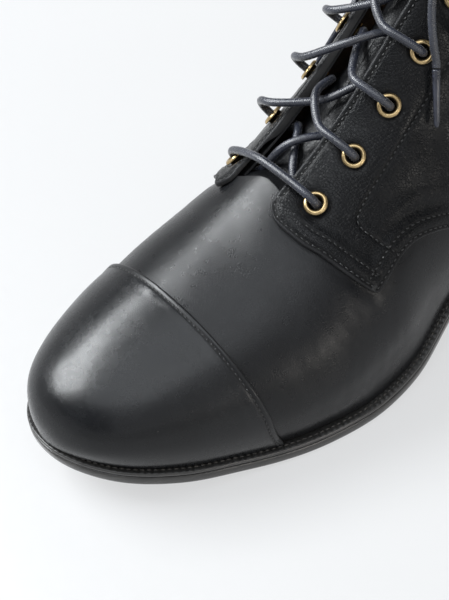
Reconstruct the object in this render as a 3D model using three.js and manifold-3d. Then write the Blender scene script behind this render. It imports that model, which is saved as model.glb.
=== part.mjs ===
// Cap-toe derby lace-up boot, left foot, about EU 42, as separate lasted pieces.
// Millimetres, +Z up, toe towards -Y, lateral (outer) side +X. The boot stands on z = 0.
//
// The upper is a fan of cross sections. Station w runs from the toe tip (0) along the
// instep ridge to the collar; tau runs from the ridge (0) down to the feather line, or
// round to the back centre line on the ankle (1). Every leather layer is a patch of that
// surface, thickened between two offsets along its normal.
import * as THREE from 'three';
import { mergeVertices } from 'three/addons/utils/BufferGeometryUtils.js';
import Module from 'manifold-3d';

// ---------------------------------------------------------------- driving dimensions
const LENGTH = 300;                 // sole, heel to toe
const W_TOP = 15.6;                 // collar station
const W_HEEL = 12.6;                // station of the heel corner
const OUTSOLE_T = 4.2, WELT = [4.5, 6.3], UPPER_Z = 6.7, INSOLE = [6.6, 8.8], SOCK = [9.1, 10.3];
const HEEL_BREAST = 72, TOP_LIFT = 6, LIFT = 6.3, GAP = 0.3;
// offsets from the lasted surface
const CAP = [0.3, 1.6], VAMP = [-1.4, 0], PUFF = [-1.4, 0], QUARTER = [0.3, 1.8], INTER = [-1.35, -0.05];
const LINING = [-2.7, -1.8], TONGUE_D = 7.1, TONGUE_T = 1.2;
const BACKSTAY = [2.1, 3.3];
const EYELETS = 7, EYELET_PITCH = 19.5, EYELET_R = 4.0, EYELET_HOLE_R = 2.3, EYELET_EDGE = 11.7, EYELET_W0 = 7.93;
const FACING_LAT = 7.0, FACING_MED = 13.0;      // facing edge to ridge line, along the surface
const LACE_R = 1.3, AGLET_L = 18.5;
const ORIGIN = [2.65, 2.06];         // middle of the box in the lasting frame
const CAP_W = 4.66, CAP_SWEEP = 0.33;

// sole outline (distance from the heel, lateral +)
const OUT = [[0,0],[4,15],[16,28],[38,35.2],[65,37],[98,36.3],[130,38.4],[158,44.6],[182,51.2],[205,52],[229,47],[251.5,38.6],[272,29.6],[288.5,17.2],[297.4,3.6],[299.6,-7],[297.8,-18],[289,-30],[272,-40],[248,-45.5],[222,-47],[195,-43.5],[165,-35.5],[135,-29.5],[100,-28.5],[65,-32],[38,-32.5],[16,-27],[4,-15]];
const ZB_T = [0,40,80,110,140,165,190,205,222,240,260,280,300];
const ZB_Z = [27,26.2,24,19.5,13,6.5,1.2,0,0,1.2,4.7,9.3,15.8];
// stations of the upper
const W  = [0,.6,1.3,2.2,3.2,4.3,5.5,6.7,7.8,8.9,10,11,12,13,14,15,16,17];
const RT = [297.2,297.1,294.9,287,270.6,250.7,231.3,213.4,197.5,181.3,165.4,151.5,138,126.2,116.5,110,105.8,103.7];
const RZ = [20.5,26.2,33.2,40.5,46.5,51.6,57.5,64.9,73.6,84.2,97.4,111.7,126.1,142.4,159.7,177.1,189.8,199.5];
const YL = [-4,1,8.6,18.2,28.6,37.6,45.6,49.6,48.6,43.6,40.2,38,36.4,35.2,35,37,39,40];
const YM = [8,13,19.5,28.2,36.6,42.2,44.4,43.2,39.9,37.2,35.2,33.7,33.6,33.8,34.5,36.8,39,40];
const SM = [.61,.62,.62,.66,.70,.71,.72,.73,.73,.72,.73,.72,.65,.545,.486,.47,.47,.47];
const K1 = [.62,.62,.62,.60,.58,.56,.54,.50,.44,.40,.40,.42,.46,.50,.54,.56,.56,.56];
const XR = [-7,-7,-7,-6.5,-6,-5,-4.5,-4,-3.5,-3,-2.5,-2,-1,0,0,0,0,0];
const ETW = [0,.6,1.3,2.2,3.2,4.3,5.5,6.7,7.8,8.9,10,11,12,12.6];
const ET = [296,295,291.5,284,269,249,228,206,184,158,126,88,42,0];
const BZ = [34,50,70,95,120,150,180,200], BT = [3.2,.2,-.3,2.5,5.5,6,4,3];
const BWW = [12.6,13,14,15,16,17], BWZ = [33.69,58,100,138,168,192];
const FEATHER_IN = 3.2;
// style lines on the surface, [station, tau], same on both sides
const FRONT = [[7.16,.117],[7.17,.173],[7.3,.237],[7.42,.303],[7.56,.367],[7.67,.404]];
const SEAM = [[7.96,.41],[8.44,.413],[8.94,.44],[9.42,.507],[9.7,.58],[9.92,.68],[10.05,.8],[10.1,.9],[10.12,1]];
const UNDER_FRONT = [[8.3,0],[8.2,.04],[7.66,.08],[7.52,.14],[7.52,.22],[7.6,.28],[7.85,.335]];
const UNDER_SEAM = [[8.42,.368],[8.9,.393],[9.4,.44],[9.75,.5],[10.02,.58],[10.24,.68],[10.38,.8],[10.44,.9],[10.46,1]];
const COUNTER_EDGE = [[11.35,1],[11.45,.85],[11.6,.72],[12,.66],[12.6,.7],[12.9,.8],[13.1,.88],[13.3,1]];

// ---------------------------------------------------------------- splines
function hermite(x, y, m) {
  return (v) => {
    const n = x.length; let i = 0;
    while (i < n - 2 && v > x[i + 1]) i++;
    const h = x[i + 1] - x[i], t = Math.min(1, Math.max(0, (v - x[i]) / h)), t2 = t * t, t3 = t2 * t;
    return (2*t3 - 3*t2 + 1) * y[i] + (t3 - 2*t2 + t) * h * m[i] + (-2*t3 + 3*t2) * y[i+1] + (t3 - t2) * h * m[i+1];
  };
}
function pchip(x, y) {
  const n = x.length, h = [], d = [], m = new Array(n).fill(0);
  for (let i = 0; i < n - 1; i++) { h[i] = x[i+1] - x[i]; d[i] = (y[i+1] - y[i]) / h[i]; }
  for (let i = 1; i < n - 1; i++) if (d[i-1] * d[i] > 0) {
    const a = 2*h[i] + h[i-1], b = h[i] + 2*h[i-1]; m[i] = (a + b) / (a / d[i-1] + b / d[i]);
  }
  const end = (h0, h1, d0, d1) => { let v = ((2*h0 + h1) * d0 - h0 * d1) / (h0 + h1);
    if (v * d0 <= 0) v = 0; else if (d0 * d1 <= 0 && Math.abs(v) > 3 * Math.abs(d0)) v = 3 * d0; return v; };
  m[0] = end(h[0], h[1], d[0], d[1]); m[n-1] = end(h[n-2], h[n-3], d[n-2], d[n-3]);
  return hermite(x, y, m);
}
function cubic(x, y) {            // natural cubic spline
  const n = x.length, a = new Array(n).fill(0), b = new Array(n).fill(1), c = new Array(n).fill(0), r = new Array(n).fill(0);
  for (let i = 1; i < n - 1; i++) { const h0 = x[i]-x[i-1], h1 = x[i+1]-x[i];
    a[i] = h0; b[i] = 2*(h0+h1); c[i] = h1; r[i] = 6*((y[i+1]-y[i])/h1 - (y[i]-y[i-1])/h0); }
  for (let i = 1; i < n; i++) { const k = a[i] / b[i-1]; b[i] -= k*c[i-1]; r[i] -= k*r[i-1]; }
  const M = new Array(n).fill(0);
  for (let i = n - 1; i >= 0; i--) M[i] = (r[i] - (i < n-1 ? c[i]*M[i+1] : 0)) / b[i];
  const m = x.map((_, i) => i < n-1 ? (y[i+1]-y[i])/(x[i+1]-x[i]) - (x[i+1]-x[i])*(2*M[i]+M[i+1])/6
    : (y[i]-y[i-1])/(x[i]-x[i-1]) + (x[i]-x[i-1])*(M[i-1]+2*M[i])/6);
  return hermite(x, y, m);
}
const zb = pchip(ZB_T, ZB_Z), fRT = cubic(W, RT), fRZ = cubic(W, RZ), fYL = pchip(W, YL), fYM = pchip(W, YM);
const fSM = pchip(W, SM), fK1 = pchip(W, K1), fXR = pchip(W, XR), fET = pchip(ETW, ET), fBT = cubic(BZ, BT), fBZ = pchip(BWW, BWZ);

// closed outline through OUT
const N_OUT = 1160;
const outline = (() => {
  const n = OUT.length, q = [];
  for (let k = 0; k < n; k++) {
    const p0 = OUT[(k+n-1)%n], p1 = OUT[k], p2 = OUT[(k+1)%n], p3 = OUT[(k+2)%n];
    const c = new THREE.CatmullRomCurve3([p0,p1,p2,p3].map(p => new THREE.Vector3(p[0],p[1],0)), false, 'centripetal');
    for (let j = 0; j < N_OUT/n; j++) { const v = c.getPoint((1 + j/(N_OUT/n))/3); q.push([v.x, v.y]); }
  }
  return q;
})();
function inset(d) {
  const n = outline.length;
  return outline.map((p, i) => {
    const a = outline[(i+n-6)%n], b = outline[(i+6)%n]; let tx = b[0]-a[0], ty = b[1]-a[1]; const l = Math.hypot(tx, ty);
    return [p[0] + ty/l*d, p[1] - tx/l*d];
  });
}
function halves(q) {               // outline as x(t) for the two sides
  let i0 = 0, i1 = 0; q.forEach((p, i) => { if (p[0] < q[i0][0]) i0 = i; if (p[0] > q[i1][0]) i1 = i; });
  const n = q.length, L = [], M = [];
  for (let i = i0; ; i = (i+1)%n) { L.push(q[i]); if (i === i1) break; }
  for (let i = i0; ; i = (i+n-1)%n) { M.push(q[i]); if (i === i1) break; }
  const f = (A) => { const B = [A[0]]; for (const p of A) if (p[0] > B[B.length-1][0] + 1e-9) B.push(p);
    return (t) => { if (t <= B[0][0]) return B[0][1]; let i = 1; while (i < B.length-1 && B[i][0] < t) i++;
      const k = Math.min(1, (t-B[i-1][0])/(B[i][0]-B[i-1][0])); return B[i-1][1] + k*(B[i][1]-B[i-1][1]); }; };
  return { lat: f(L), med: f(M), tmin: q[i0][0], tmax: q[i1][0] };
}
const soleH = halves(outline);
const kIn = (150 - FEATHER_IN) / 150;
function feather(side, t) {
  const tt = Math.min(soleH.tmax, Math.max(soleH.tmin, 150 + (t - 150) / kIn));
  const a = soleH.lat(tt), b = soleH.med(tt), ax = (a + b) / 2, x = side > 0 ? a : b, half = Math.abs(x - ax);
  return ax + (x - ax) * Math.max(half - FEATHER_IN, 0) / Math.max(half, 1e-6);
}
const FMIN = 150 + (soleH.tmin - 150) * kIn, FMAX = 150 + (soleH.tmax - 150) * kIn;
function bez(a, b, c, d, u) { const v = 1 - u; return v*v*v*a + 3*u*v*v*b + 3*u*u*v*c + u*u*u*d; }
function S(side, w, tau) {         // the lasted surface
  const rt = fRT(w), rz = fRZ(w), xr = fXR(w); let et, ez, xe;
  if (w < W_HEEL) { et = Math.min(FMAX, Math.max(FMIN, fET(w))); ez = zb(et) + UPPER_Z; xe = feather(side, et); }
  else { ez = fBZ(w); et = fBT(ez); xe = 0; }
  const ym = side > 0 ? fYL(w) : -fYM(w), sm = fSM(w);
  let op = Math.min(1, Math.max(0, (W_HEEL - w) / .6)); op = op*op*(3 - 2*op);
  const ts = 0.6; let s, y;
  if (tau <= ts) { const u = tau/ts, y1 = xr + (ym - xr)*fK1(w); s = bez(0, 0, sm*.45, sm, u); y = bez(xr, y1, ym, ym, u); }
  else { const v = (tau - ts)/(1 - ts), hx = 1 - sm;
    s = bez(sm, sm + hx*.5, 1 - hx*.35*op, 1, v); y = bez(ym, ym, xe + (ym - xe)*(.75*op + .56*(1 - op)), xe, v); }
  return new THREE.Vector3(y, LENGTH/2 - (rt + (et - rt)*s), rz + (ez - rz)*s);
}
function normal(side, w, tau) {
  const e = 0.012, w0 = Math.max(w - e, 0), w1 = Math.min(w + e, 17); let a, b;
  if (tau < e) { a = S(-side, w, e); b = S(side, w, e + tau); }
  else if (tau > 1 - e && w >= W_HEEL) { a = S(side, w, 1 - e); b = S(-side, w, 1 - e); }
  else { a = S(side, w, tau - e); b = S(side, w, Math.min(1, tau + e)); }
  const dt = b.sub(a), dw = S(side, w1, tau).sub(S(side, w0, tau));
  return dw.cross(dt).multiplyScalar(-side).normalize();
}
// All layers share one net of the surface, so stacked layers stay parallel facet by facet.
const NET_W = [0,.4,1,1.8,2.7,3.7,4.7,5.7,6.7,7.35,7.75,8.2,9,9.9,10.9,11.5,12,12.35,W_HEEL,13.2,14.2,W_TOP,16.4];
const NET_T = [0,.08,.17,.28,.41,.55,.69,.81,.91,1];
const net = {};
for (const side of [1, -1]) net[side] = NET_W.map(w => NET_T.map(t => ({ p: S(side, w, t), n: normal(side, w, t) })));
function node(side, i, j, d) {     // net point at offset d, kept above the welt
  const { p, n } = net[side][i][j], q = p.clone().addScaledVector(n, d);
  q.z = Math.max(q.z, zb(LENGTH/2 - q.y) + UPPER_Z); return q;
}
function Q(side, w, tau, d) {
  let i = 0, j = 0; while (i < NET_W.length - 2 && w > NET_W[i+1]) i++; while (j < NET_T.length - 2 && tau > NET_T[j+1]) j++;
  const u = Math.min(1, Math.max(0, (w - NET_W[i])/(NET_W[i+1] - NET_W[i]))), v = Math.min(1, Math.max(0, (tau - NET_T[j])/(NET_T[j+1] - NET_T[j])));
  const A = node(side, i, j, d), C = node(side, i+1, j+1, d);
  if (u >= v) { const B = node(side, i+1, j, d); return A.multiplyScalar(1 - u).addScaledVector(B, u - v).addScaledVector(C, v); }
  const B = node(side, i, j+1, d); return A.multiplyScalar(1 - v).addScaledVector(B, v - u).addScaledVector(C, u);
}
function tauAt(side, w, dist) {    // tau at a distance from the ridge along the section
  let p = S(side, w, 0), acc = 0; const n = 200;
  for (let i = 1; i <= n; i++) { const q = S(side, w, i/n*.9), d = q.distanceTo(p);
    if (acc + d >= dist) return (i - 1 + (dist - acc)/d)/n*.9; acc += d; p = q; }
  return .9;
}
const facing = (side, w, extra = 0) => tauAt(side, w, (side > 0 ? FACING_LAT : FACING_MED) + extra);
function along(P) {                // polyline by its own length, u in 0..1
  const c = [0]; for (let i = 1; i < P.length; i++) c.push(c[i-1] + Math.hypot((P[i][0]-P[i-1][0])*18, (P[i][1]-P[i-1][1])*110));
  return (u) => { const v = u*c[c.length-1]; let i = 1; while (i < P.length-1 && c[i] < v) i++;
    const k = Math.min(1, Math.max(0, (v - c[i-1])/(c[i]-c[i-1]))); return [P[i-1][0] + k*(P[i][0]-P[i-1][0]), P[i-1][1] + k*(P[i][1]-P[i-1][1])]; };
}

// ---------------------------------------------------------------- solids
const group = new THREE.Group();
function add(name, geo, color, roughness = .5, metalness = 0) {
  const m = new THREE.Mesh(geo, new THREE.MeshStandardMaterial({ color, roughness, metalness }));
  m.name = name; group.add(m); return m;
}
function geometry(pos, idx) {      // indexed geometry turned to face outwards
  let v = 0; const P = (i) => [pos[3*i], pos[3*i+1], pos[3*i+2]];
  for (let i = 0; i < idx.length; i += 3) { const [a,b,c] = [P(idx[i]),P(idx[i+1]),P(idx[i+2])];
    v += a[0]*(b[1]*c[2]-b[2]*c[1]) - a[1]*(b[0]*c[2]-b[2]*c[0]) + a[2]*(b[0]*c[1]-b[1]*c[0]); }
  if (v < 0) for (let i = 0; i < idx.length; i += 3) { const t = idx[i]; idx[i] = idx[i+1]; idx[i+1] = t; }
  const g = new THREE.BufferGeometry(); g.setAttribute('position', new THREE.Float32BufferAttribute(pos, 3)); g.setIndex(idx); g.computeVertexNormals(); return g;
}
// regions: list of {side, poly: [[w, tau], ...]} on the net; ridge and back points are welded
function clip(poly, a, b, inside) { // Sutherland-Hodgman against one edge of a net triangle
  const f = (p) => inside*((b[0]-a[0])*(p[1]-a[1]) - (b[1]-a[1])*(p[0]-a[0])), out = [];
  for (let i = 0; i < poly.length; i++) { const p = poly[i], q = poly[(i+1)%poly.length], fp = f(p), fq = f(q);
    if (fp >= -1e-12) out.push(p);
    if ((fp > 1e-12 && fq < -1e-12) || (fp < -1e-12 && fq > 1e-12)) { const k = fp/(fp - fq); out.push([p[0] + k*(q[0]-p[0]), p[1] + k*(q[1]-p[1])]); } }
  return out;
}
const key2 = ([w, t]) => w.toFixed(4) + ':' + t.toFixed(4);
function tidy(P) {                 // drop repeated points and folded-back spikes
  for (let again = true; again && P.length > 2;) { again = false;
    for (let k = 0; k < P.length; k++) { const a = P[(k+P.length-1)%P.length], p = P[k], b = P[(k+1)%P.length];
      const ux = a[0]-p[0], uy = (a[1]-p[1])*9, vx = b[0]-p[0], vy = (b[1]-p[1])*9;
      const spike = Math.abs(ux*vy - uy*vx) < 1e-7*Math.hypot(ux, uy)*Math.hypot(vx, vy) + 1e-12 && ux*vx + uy*vy > 0;
      if (key2(p) === key2(b) || spike) { P = P.filter((_, i) => i !== k); again = true; break; } } }
  return P;
}
function sheet(regions, dIn, dOut) {
  const ids = new Map(), V = [], tris = [];
  const fi = typeof dIn === 'function' ? dIn : () => dIn, fo = typeof dOut === 'function' ? dOut : () => dOut;
  for (const { side, poly } of regions) {
    const w0 = Math.min(...poly.map(p => p[0])), w1 = Math.max(...poly.map(p => p[0]));
    for (let i = 0; i + 1 < NET_W.length; i++) { if (NET_W[i+1] <= w0 || NET_W[i] >= w1) continue;
      for (let j = 0; j + 1 < NET_T.length; j++) { const c = [NET_W[i], NET_W[i+1]], t = [NET_T[j], NET_T[j+1]];
        for (const T of [[[c[0],t[0]],[c[1],t[0]],[c[1],t[1]]], [[c[0],t[0]],[c[1],t[1]],[c[0],t[1]]]]) {
          let P = poly; for (let e = 0; e < 3 && P.length > 2; e++) P = clip(P, T[e], T[(e+1)%3], 1);
          P = tidy(P); if (P.length < 3) continue;
          let area = 0; P.forEach((p, k) => { const q = P[(k+1)%P.length]; area += p[0]*q[1] - p[1]*q[0]; });
          if (Math.abs(area) < 2e-5) continue;
          const pts = P.map(p => new THREE.Vector2(p[0], p[1]*9)), faces = THREE.ShapeUtils.triangulateShape(pts, []);
          const id = P.map(([w, t]) => { const edge = t < 1e-6 ? 'r' : t > 1 - 1e-6 && w >= W_HEEL - 1e-6 ? 'b' : side, k = edge + ':' + key2([w, t]);
            if (!ids.has(k)) { ids.set(k, V.length); V.push([side, w, t]); } return ids.get(k); });
          for (const f of faces) { let [x, y, z] = f.map(k => id[k]); if (x === y || y === z || x === z) continue;
            const o = (pts[f[1]].x-pts[f[0]].x)*(pts[f[2]].y-pts[f[0]].y) - (pts[f[1]].y-pts[f[0]].y)*(pts[f[2]].x-pts[f[0]].x);
            if ((o > 0) === (side > 0)) tris.push([x, y, z]); else tris.push([x, z, y]); }
        } } }
  }
  const n = V.length, pos = [];
  for (const [s, w, t] of V) { const p = Q(s, w, t, fo(s, w, t)); pos.push(p.x, p.y, p.z); }
  for (const [s, w, t] of V) { const p = Q(s, w, t, fi(s, w, t)); pos.push(p.x, p.y, p.z); }
  const idx = [], edge = new Map();
  for (const [a, b, c] of tris) { idx.push(a, b, c, a + n, c + n, b + n);
    for (const [x, y] of [[a,b],[b,c],[c,a]]) { const k = x + ',' + y, r = y + ',' + x; if (edge.has(r)) edge.delete(r); else edge.set(k, [x, y]); } }
  for (const [x, y] of edge.values()) idx.push(y, x, x + n, y, x + n, y + n);
  return geometry(pos, idx);
}
const lin = (a, b, n) => Array.from({ length: n + 1 }, (_, i) => a + (b - a)*i/n);
const both = (f) => [1, -1].map(side => ({ side, poly: f(side) }));

const wasm = await Module(); wasm.setup();
function toManifold(geo) {
  let g = geo.clone(); for (const a of Object.keys(g.attributes)) if (a !== 'position') g.deleteAttribute(a);
  g = mergeVertices(g, 1e-4);
  return new wasm.Manifold(new wasm.Mesh({ numProp: 3, vertProperties: new Float32Array(g.attributes.position.array), triVerts: new Uint32Array(g.index.array) }));
}
function fromManifold(m) {
  const r = m.getMesh(), pos = []; for (let i = 0; i < r.numVert; i++) pos.push(r.vertProperties[i*r.numProp], r.vertProperties[i*r.numProp+1], r.vertProperties[i*r.numProp+2]);
  return geometry(pos, Array.from(r.triVerts));
}

// ---------------------------------------------------------------- eyelet stations
function eyeletStations(side) {
  const ws = lin(6, 16.5, 420), P = ws.map(w => S(side, w, facing(side, w, EYELET_EDGE))), c = [0];
  for (let i = 1; i < P.length; i++) c.push(c[i-1] + P[i].distanceTo(P[i-1]));
  const at = (x, X, Y) => { let i = 1; while (i < X.length-1 && X[i] < x) i++; return Y[i-1] + (x - X[i-1])/(X[i]-X[i-1])*(Y[i]-Y[i-1]); };
  const s0 = at(EYELET_W0, ws, c);
  return Array.from({ length: EYELETS }, (_, k) => { const w = at(s0 + k*EYELET_PITCH, c, ws), tau = facing(side, w, EYELET_EDGE);
    const p = S(side, w, tau), n = normal(side, w, tau), q = S(side, w, tau - .03);
    const inward = q.clone().sub(p); inward.addScaledVector(n, -inward.dot(n)).normalize();
    return { side, w, tau, p, n, c: inward, d: new THREE.Vector3().crossVectors(n, inward).normalize() }; });
}
const EY = { 1: eyeletStations(1), '-1': eyeletStations(-1) };
const HOLE_R = 3.35;
function punch(geo, side, depth0, depth1) {
  let m = toManifold(geo);
  for (const e of EY[side]) {
    const g = new THREE.CylinderGeometry(HOLE_R, HOLE_R, depth1 - depth0, 8); const q = new THREE.Quaternion().setFromUnitVectors(new THREE.Vector3(0, 1, 0), e.n);
    g.applyQuaternion(q); const c = e.p.clone().addScaledVector(e.n, (depth0 + depth1)/2); g.translate(c.x, c.y, c.z);
    m = m.subtract(toManifold(g));
  }
  const bodies = m.decompose().sort((a, b) => b.volume() - a.volume());   // a hole at an edge can leave a chip
  return fromManifold(bodies[0]);
}

// ---------------------------------------------------------------- upper
const black = 0x17181a, sheenBlack = 0x121316, tan = 0xb08a5e;
const wc = (t) => CAP_W + CAP_SWEEP*t*t, LAP = .37, PUFF_GAP = .5, END = .9985;
const capLine = (off, n = 10) => lin(0, 1, n).map(t => [wc(t) + off, t]);
const facingLine = (side, w0, w1, extra, n = 10) => lin(w0, w1, n).map(w => [w, facing(side, w, extra)]);
add('toe_cap', sheet(both(() => [[0, 0], ...capLine(0), [0, 1]]), CAP[0], CAP[1]), sheenBlack, .25);
add('toe_puff', sheet(both(() => [[1, 0], ...capLine(-PUFF_GAP), [1, 1]]), PUFF[0], PUFF[1]), 0xcdb892, .8);
add('vamp', sheet(both(() => [...capLine(-LAP).reverse(), ...UNDER_FRONT, ...UNDER_SEAM]), VAMP[0], VAMP[1]), black, .4);
for (const side of [1, -1]) {
  const nm = side > 0 ? 'lateral' : 'medial', f0 = facing(side, 7.4);
  const front = FRONT.filter(p => p[1] > f0 + .03);
  add(`quarter_${nm}`, punch(sheet([{ side, poly: [...facingLine(side, W_TOP, 7.4, 0, 14), ...front, ...SEAM, [W_HEEL - .1, 1], [W_HEEL, END], [W_TOP, END]] }], QUARTER[0], QUARTER[1]), side, -1, 4), black, .5);
  add(`interlining_${nm}`, sheet([{ side, poly: [...facingLine(side, W_TOP - .06, 8.7, EYELET_EDGE + 5, 8), [8.65, .362], [9.05, .378], [9.5, .42], [9.88, .48], [10.17, .565], [10.4, .67], [10.54, .8], [10.6, .9], [10.62, 1], [11.25, 1], [11.35, .84], [11.52, .7], [12, .64], [12.6, .68], [12.93, .785], [13.15, .87], [13.4, END], [W_TOP - .06, END]] }], INTER[0], INTER[1]), 0x8d8a80, .95);
  add(`lining_${nm}`, punch(sheet([{ side, poly: [...facingLine(side, W_TOP - .03, 7.6, .8, 12), [7.6, 1], [W_HEEL - .1, 1], [W_HEEL, END], [W_TOP - .03, END]] }], LINING[0], LINING[1]), side, -5, 1), tan, .7);
}
add('heel_counter', sheet(both(() => [...COUNTER_EDGE, [W_HEEL, 1]]), INTER[0], INTER[1]), 0x9a7a52, .8);
add('vamp_lining', sheet(both(() => [[1, 0], [7.5, 0], [7.5, .985], [1, .985]]), LINING[0], LINING[1]), 0xcbbf9f, .8);
// tongue: joined under the vamp at the throat, then lying below the lacing
{
  const ss = (a, b, x) => { const t = Math.min(1, Math.max(0, (x - a)/(b - a))); return t*t*(3 - 2*t); };
  const dOut = (s, w) => -3.05 - (TONGUE_D - 3.05)*Math.min(1, Math.max(0, (w - 7.35)/.4));
  const half = (side) => [7,7.6,8.2,9,10,11.2,12.5,14,15.4,16,16.35].map(w => [w, tauAt(side, w, 23 + 6*ss(7.35, 12, w) - 8*ss(15.5, 16.35, w))]);
  add('tongue', sheet(both((side) => [...half(side), [16.35, 0], [7, 0]]), (s, w) => dOut(s, w) - TONGUE_T, dOut), 0x1b1c1e, .6);
}
add('backstay', sheet(both((side) => [...lin(12.66, W_TOP - .05, 6).map(w => {
  let t = 1, acc = 0, p = S(side, w, 1); while (acc < 7 && t > .8) { t -= .002; const q = S(side, w, t); acc += q.distanceTo(p); p = q; } return [w, t]; }), [W_TOP - .05, 1], [12.66, 1]]), BACKSTAY[0], BACKSTAY[1]), black, .4);

// ---------------------------------------------------------------- bottom
const gridT = [0,1,2.5,5,8,12,17,23,30,38,47,57,64,HEEL_BREAST,80,90,100,110,120,130,140,150,160,170,180,190,200,205,213,222,230,238,246,254,262,270,277,283,288,292,295,297.2,298.8,299.6];
function plate(d, z0, z1, tA = -1, tB = 999) {
  const h = halves(inset(d)), a = Math.max(tA, h.tmin + .05), b = Math.min(tB, h.tmax - .05);
  const ts = [a, ...gridT.filter(t => t > a + .35 && t < b - .35), b], pos = [], idx = [], K = 2;
  for (const t of ts) { const l = h.lat(t), m = h.med(t);
    for (let k = 0; k <= K; k++) { const x = m + (l - m)*k/K, y = LENGTH/2 - t; pos.push(x, y, z1(t), x, y, z0(t)); } }
  const v = (i, k, s) => (i*(K+1) + k)*2 + s, n = ts.length;
  const quad = (p, q, r, s) => idx.push(p, q, r, p, r, s);
  for (let i = 0; i + 1 < n; i++) { for (let k = 0; k < K; k++) { quad(v(i,k,0), v(i+1,k,0), v(i+1,k+1,0), v(i,k+1,0)); quad(v(i,k,1), v(i,k+1,1), v(i+1,k+1,1), v(i+1,k,1)); }
    quad(v(i,0,0), v(i,0,1), v(i+1,0,1), v(i+1,0,0)); quad(v(i,K,0), v(i+1,K,0), v(i+1,K,1), v(i,K,1)); }
  for (let k = 0; k < K; k++) { quad(v(0,k,0), v(0,k+1,0), v(0,k+1,1), v(0,k,1)); quad(v(n-1,k,0), v(n-1,k,1), v(n-1,k+1,1), v(n-1,k+1,0)); }
  return geometry(pos, idx);
}
add('outsole', plate(0, t => zb(t), t => zb(t) + OUTSOLE_T), 0x141414, .5);
add('top_lift', plate(.6, () => 0, () => TOP_LIFT, -1, HEEL_BREAST), 0x101010, .8);
add('heel_lift_lower', plate(.5, () => TOP_LIFT + GAP, () => TOP_LIFT + LIFT, -1, HEEL_BREAST - .4), 0x151312, .45);
add('heel_lift_middle', plate(.4, () => TOP_LIFT + LIFT + GAP, () => TOP_LIFT + 2*LIFT, -1, HEEL_BREAST - .8), 0x151312, .45);
add('heel_lift_upper', plate(.3, () => TOP_LIFT + 2*LIFT + GAP, t => zb(t) - GAP, -1, HEEL_BREAST - 1.2), 0x151312, .45);
{ // welt ring
  const A = inset(0), B = inset(8.2), n = 90, step = A.length/n, pos = [], idx = [];
  for (let i = 0; i < n; i++) { const a = A[Math.round(i*step)], b = B[Math.round(i*step)];
    for (const [p, z] of [[a, WELT[1]], [b, WELT[1]], [b, WELT[0]], [a, WELT[0]]]) pos.push(p[1], LENGTH/2 - p[0], zb(Math.min(300, Math.max(0, p[0]))) + z); }
  for (let i = 0; i < n; i++) { const j = (i+1)%n; for (let k = 0; k < 4; k++) { const l = (k+1)%4; idx.push(4*i+k, 4*j+k, 4*j+l, 4*i+k, 4*j+l, 4*i+l); } }
  add('welt', geometry(pos, idx), 0x1a1a1b, .6);
}
add('cork_filler', plate(8.8, t => zb(t) + WELT[0], t => zb(t) + WELT[1] - .1, 128, 999), 0xa9804f, .95);
add('insole', plate(11, t => zb(t) + INSOLE[0], t => zb(t) + INSOLE[1]), 0xb9966a, .8);
add('sock_liner', plate(12.6, t => zb(t) + SOCK[0], t => zb(t) + SOCK[1]), 0xa57f55, .7);
{ // steel shank, sprung to the waist
  const ts = lin(38, 124, 12), pos = [], idx = []; const hw = 7;
  for (const t of ts) for (const [x, z] of [[hw, 6.1], [-hw, 6.1], [-hw, 4.8], [hw, 4.8]]) pos.push(x + 1.5, LENGTH/2 - t, zb(t) + z);
  for (let i = 0; i + 1 < ts.length; i++) for (let k = 0; k < 4; k++) { const l = (k+1)%4, a = 4*i, b = 4*i + 4; idx.push(a+k, b+k, b+l, a+k, b+l, a+l); }
  const e = 4*(ts.length - 1); idx.push(0, 1, 2, 0, 2, 3, e, e+2, e+1, e, e+3, e+2);
  add('shank', geometry(pos, idx), 0x8c9096, .35, .9);
}

// ---------------------------------------------------------------- eyelets
for (const side of [1, -1]) EY[side].forEach((e, k) => {
  const r = EYELET_HOLE_R, R = EYELET_R, prof = [[r, -3.75], [3.3, -3.75], [3.3, -3.4], [2.8, -3.35], [2.8, 2.1], [R, 2.12], [3.6, 3.0], [2.8, 3.0], [r, 2.5], [r, -3.75]].map(p => new THREE.Vector2(p[0], p[1]));
  let g = new THREE.LatheGeometry(prof, 10); g.deleteAttribute('normal'); g.deleteAttribute('uv'); g = mergeVertices(g, 1e-3); g.computeVertexNormals();
  const m = add(`eyelet_${side > 0 ? 'lateral' : 'medial'}_${k + 1}`, geometry(Array.from(g.attributes.position.array), Array.from(g.index.array)), 0x9c8357, .3, 1);
  m.quaternion.setFromUnitVectors(new THREE.Vector3(0, 1, 0), e.n); m.position.copy(e.p);
});

// ---------------------------------------------------------------- laces
function tube(points, r = LACE_R, steps = 0, sides = 8) {
  const c = new THREE.CatmullRomCurve3(points, false, 'centripetal'), n = steps || points.length - 1;
  const shape = new THREE.Shape(Array.from({ length: sides }, (_, i) => new THREE.Vector2(r*Math.cos(i*2*Math.PI/sides), r*Math.sin(i*2*Math.PI/sides))));
  class Fixed extends THREE.Curve { getPoint(t, o = new THREE.Vector3()) { return c.getPoint(t, o); } getPointAt(t, o = new THREE.Vector3()) { return c.getPoint(t, o); }
    getTangentAt(t, o = new THREE.Vector3()) { return c.getTangent(t, o); } getSpacedPoints(k) { return lin(0, 1, k).map(t => c.getPoint(t)); } }
  let g = new THREE.ExtrudeGeometry(shape, { steps: n, extrudePath: steps ? c : new Fixed(), bevelEnabled: false });
  g.deleteAttribute('normal'); g.deleteAttribute('uv'); g = mergeVertices(g, 1e-4);
  return geometry(Array.from(g.attributes.position.array), Array.from(g.index.array));
}
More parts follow.
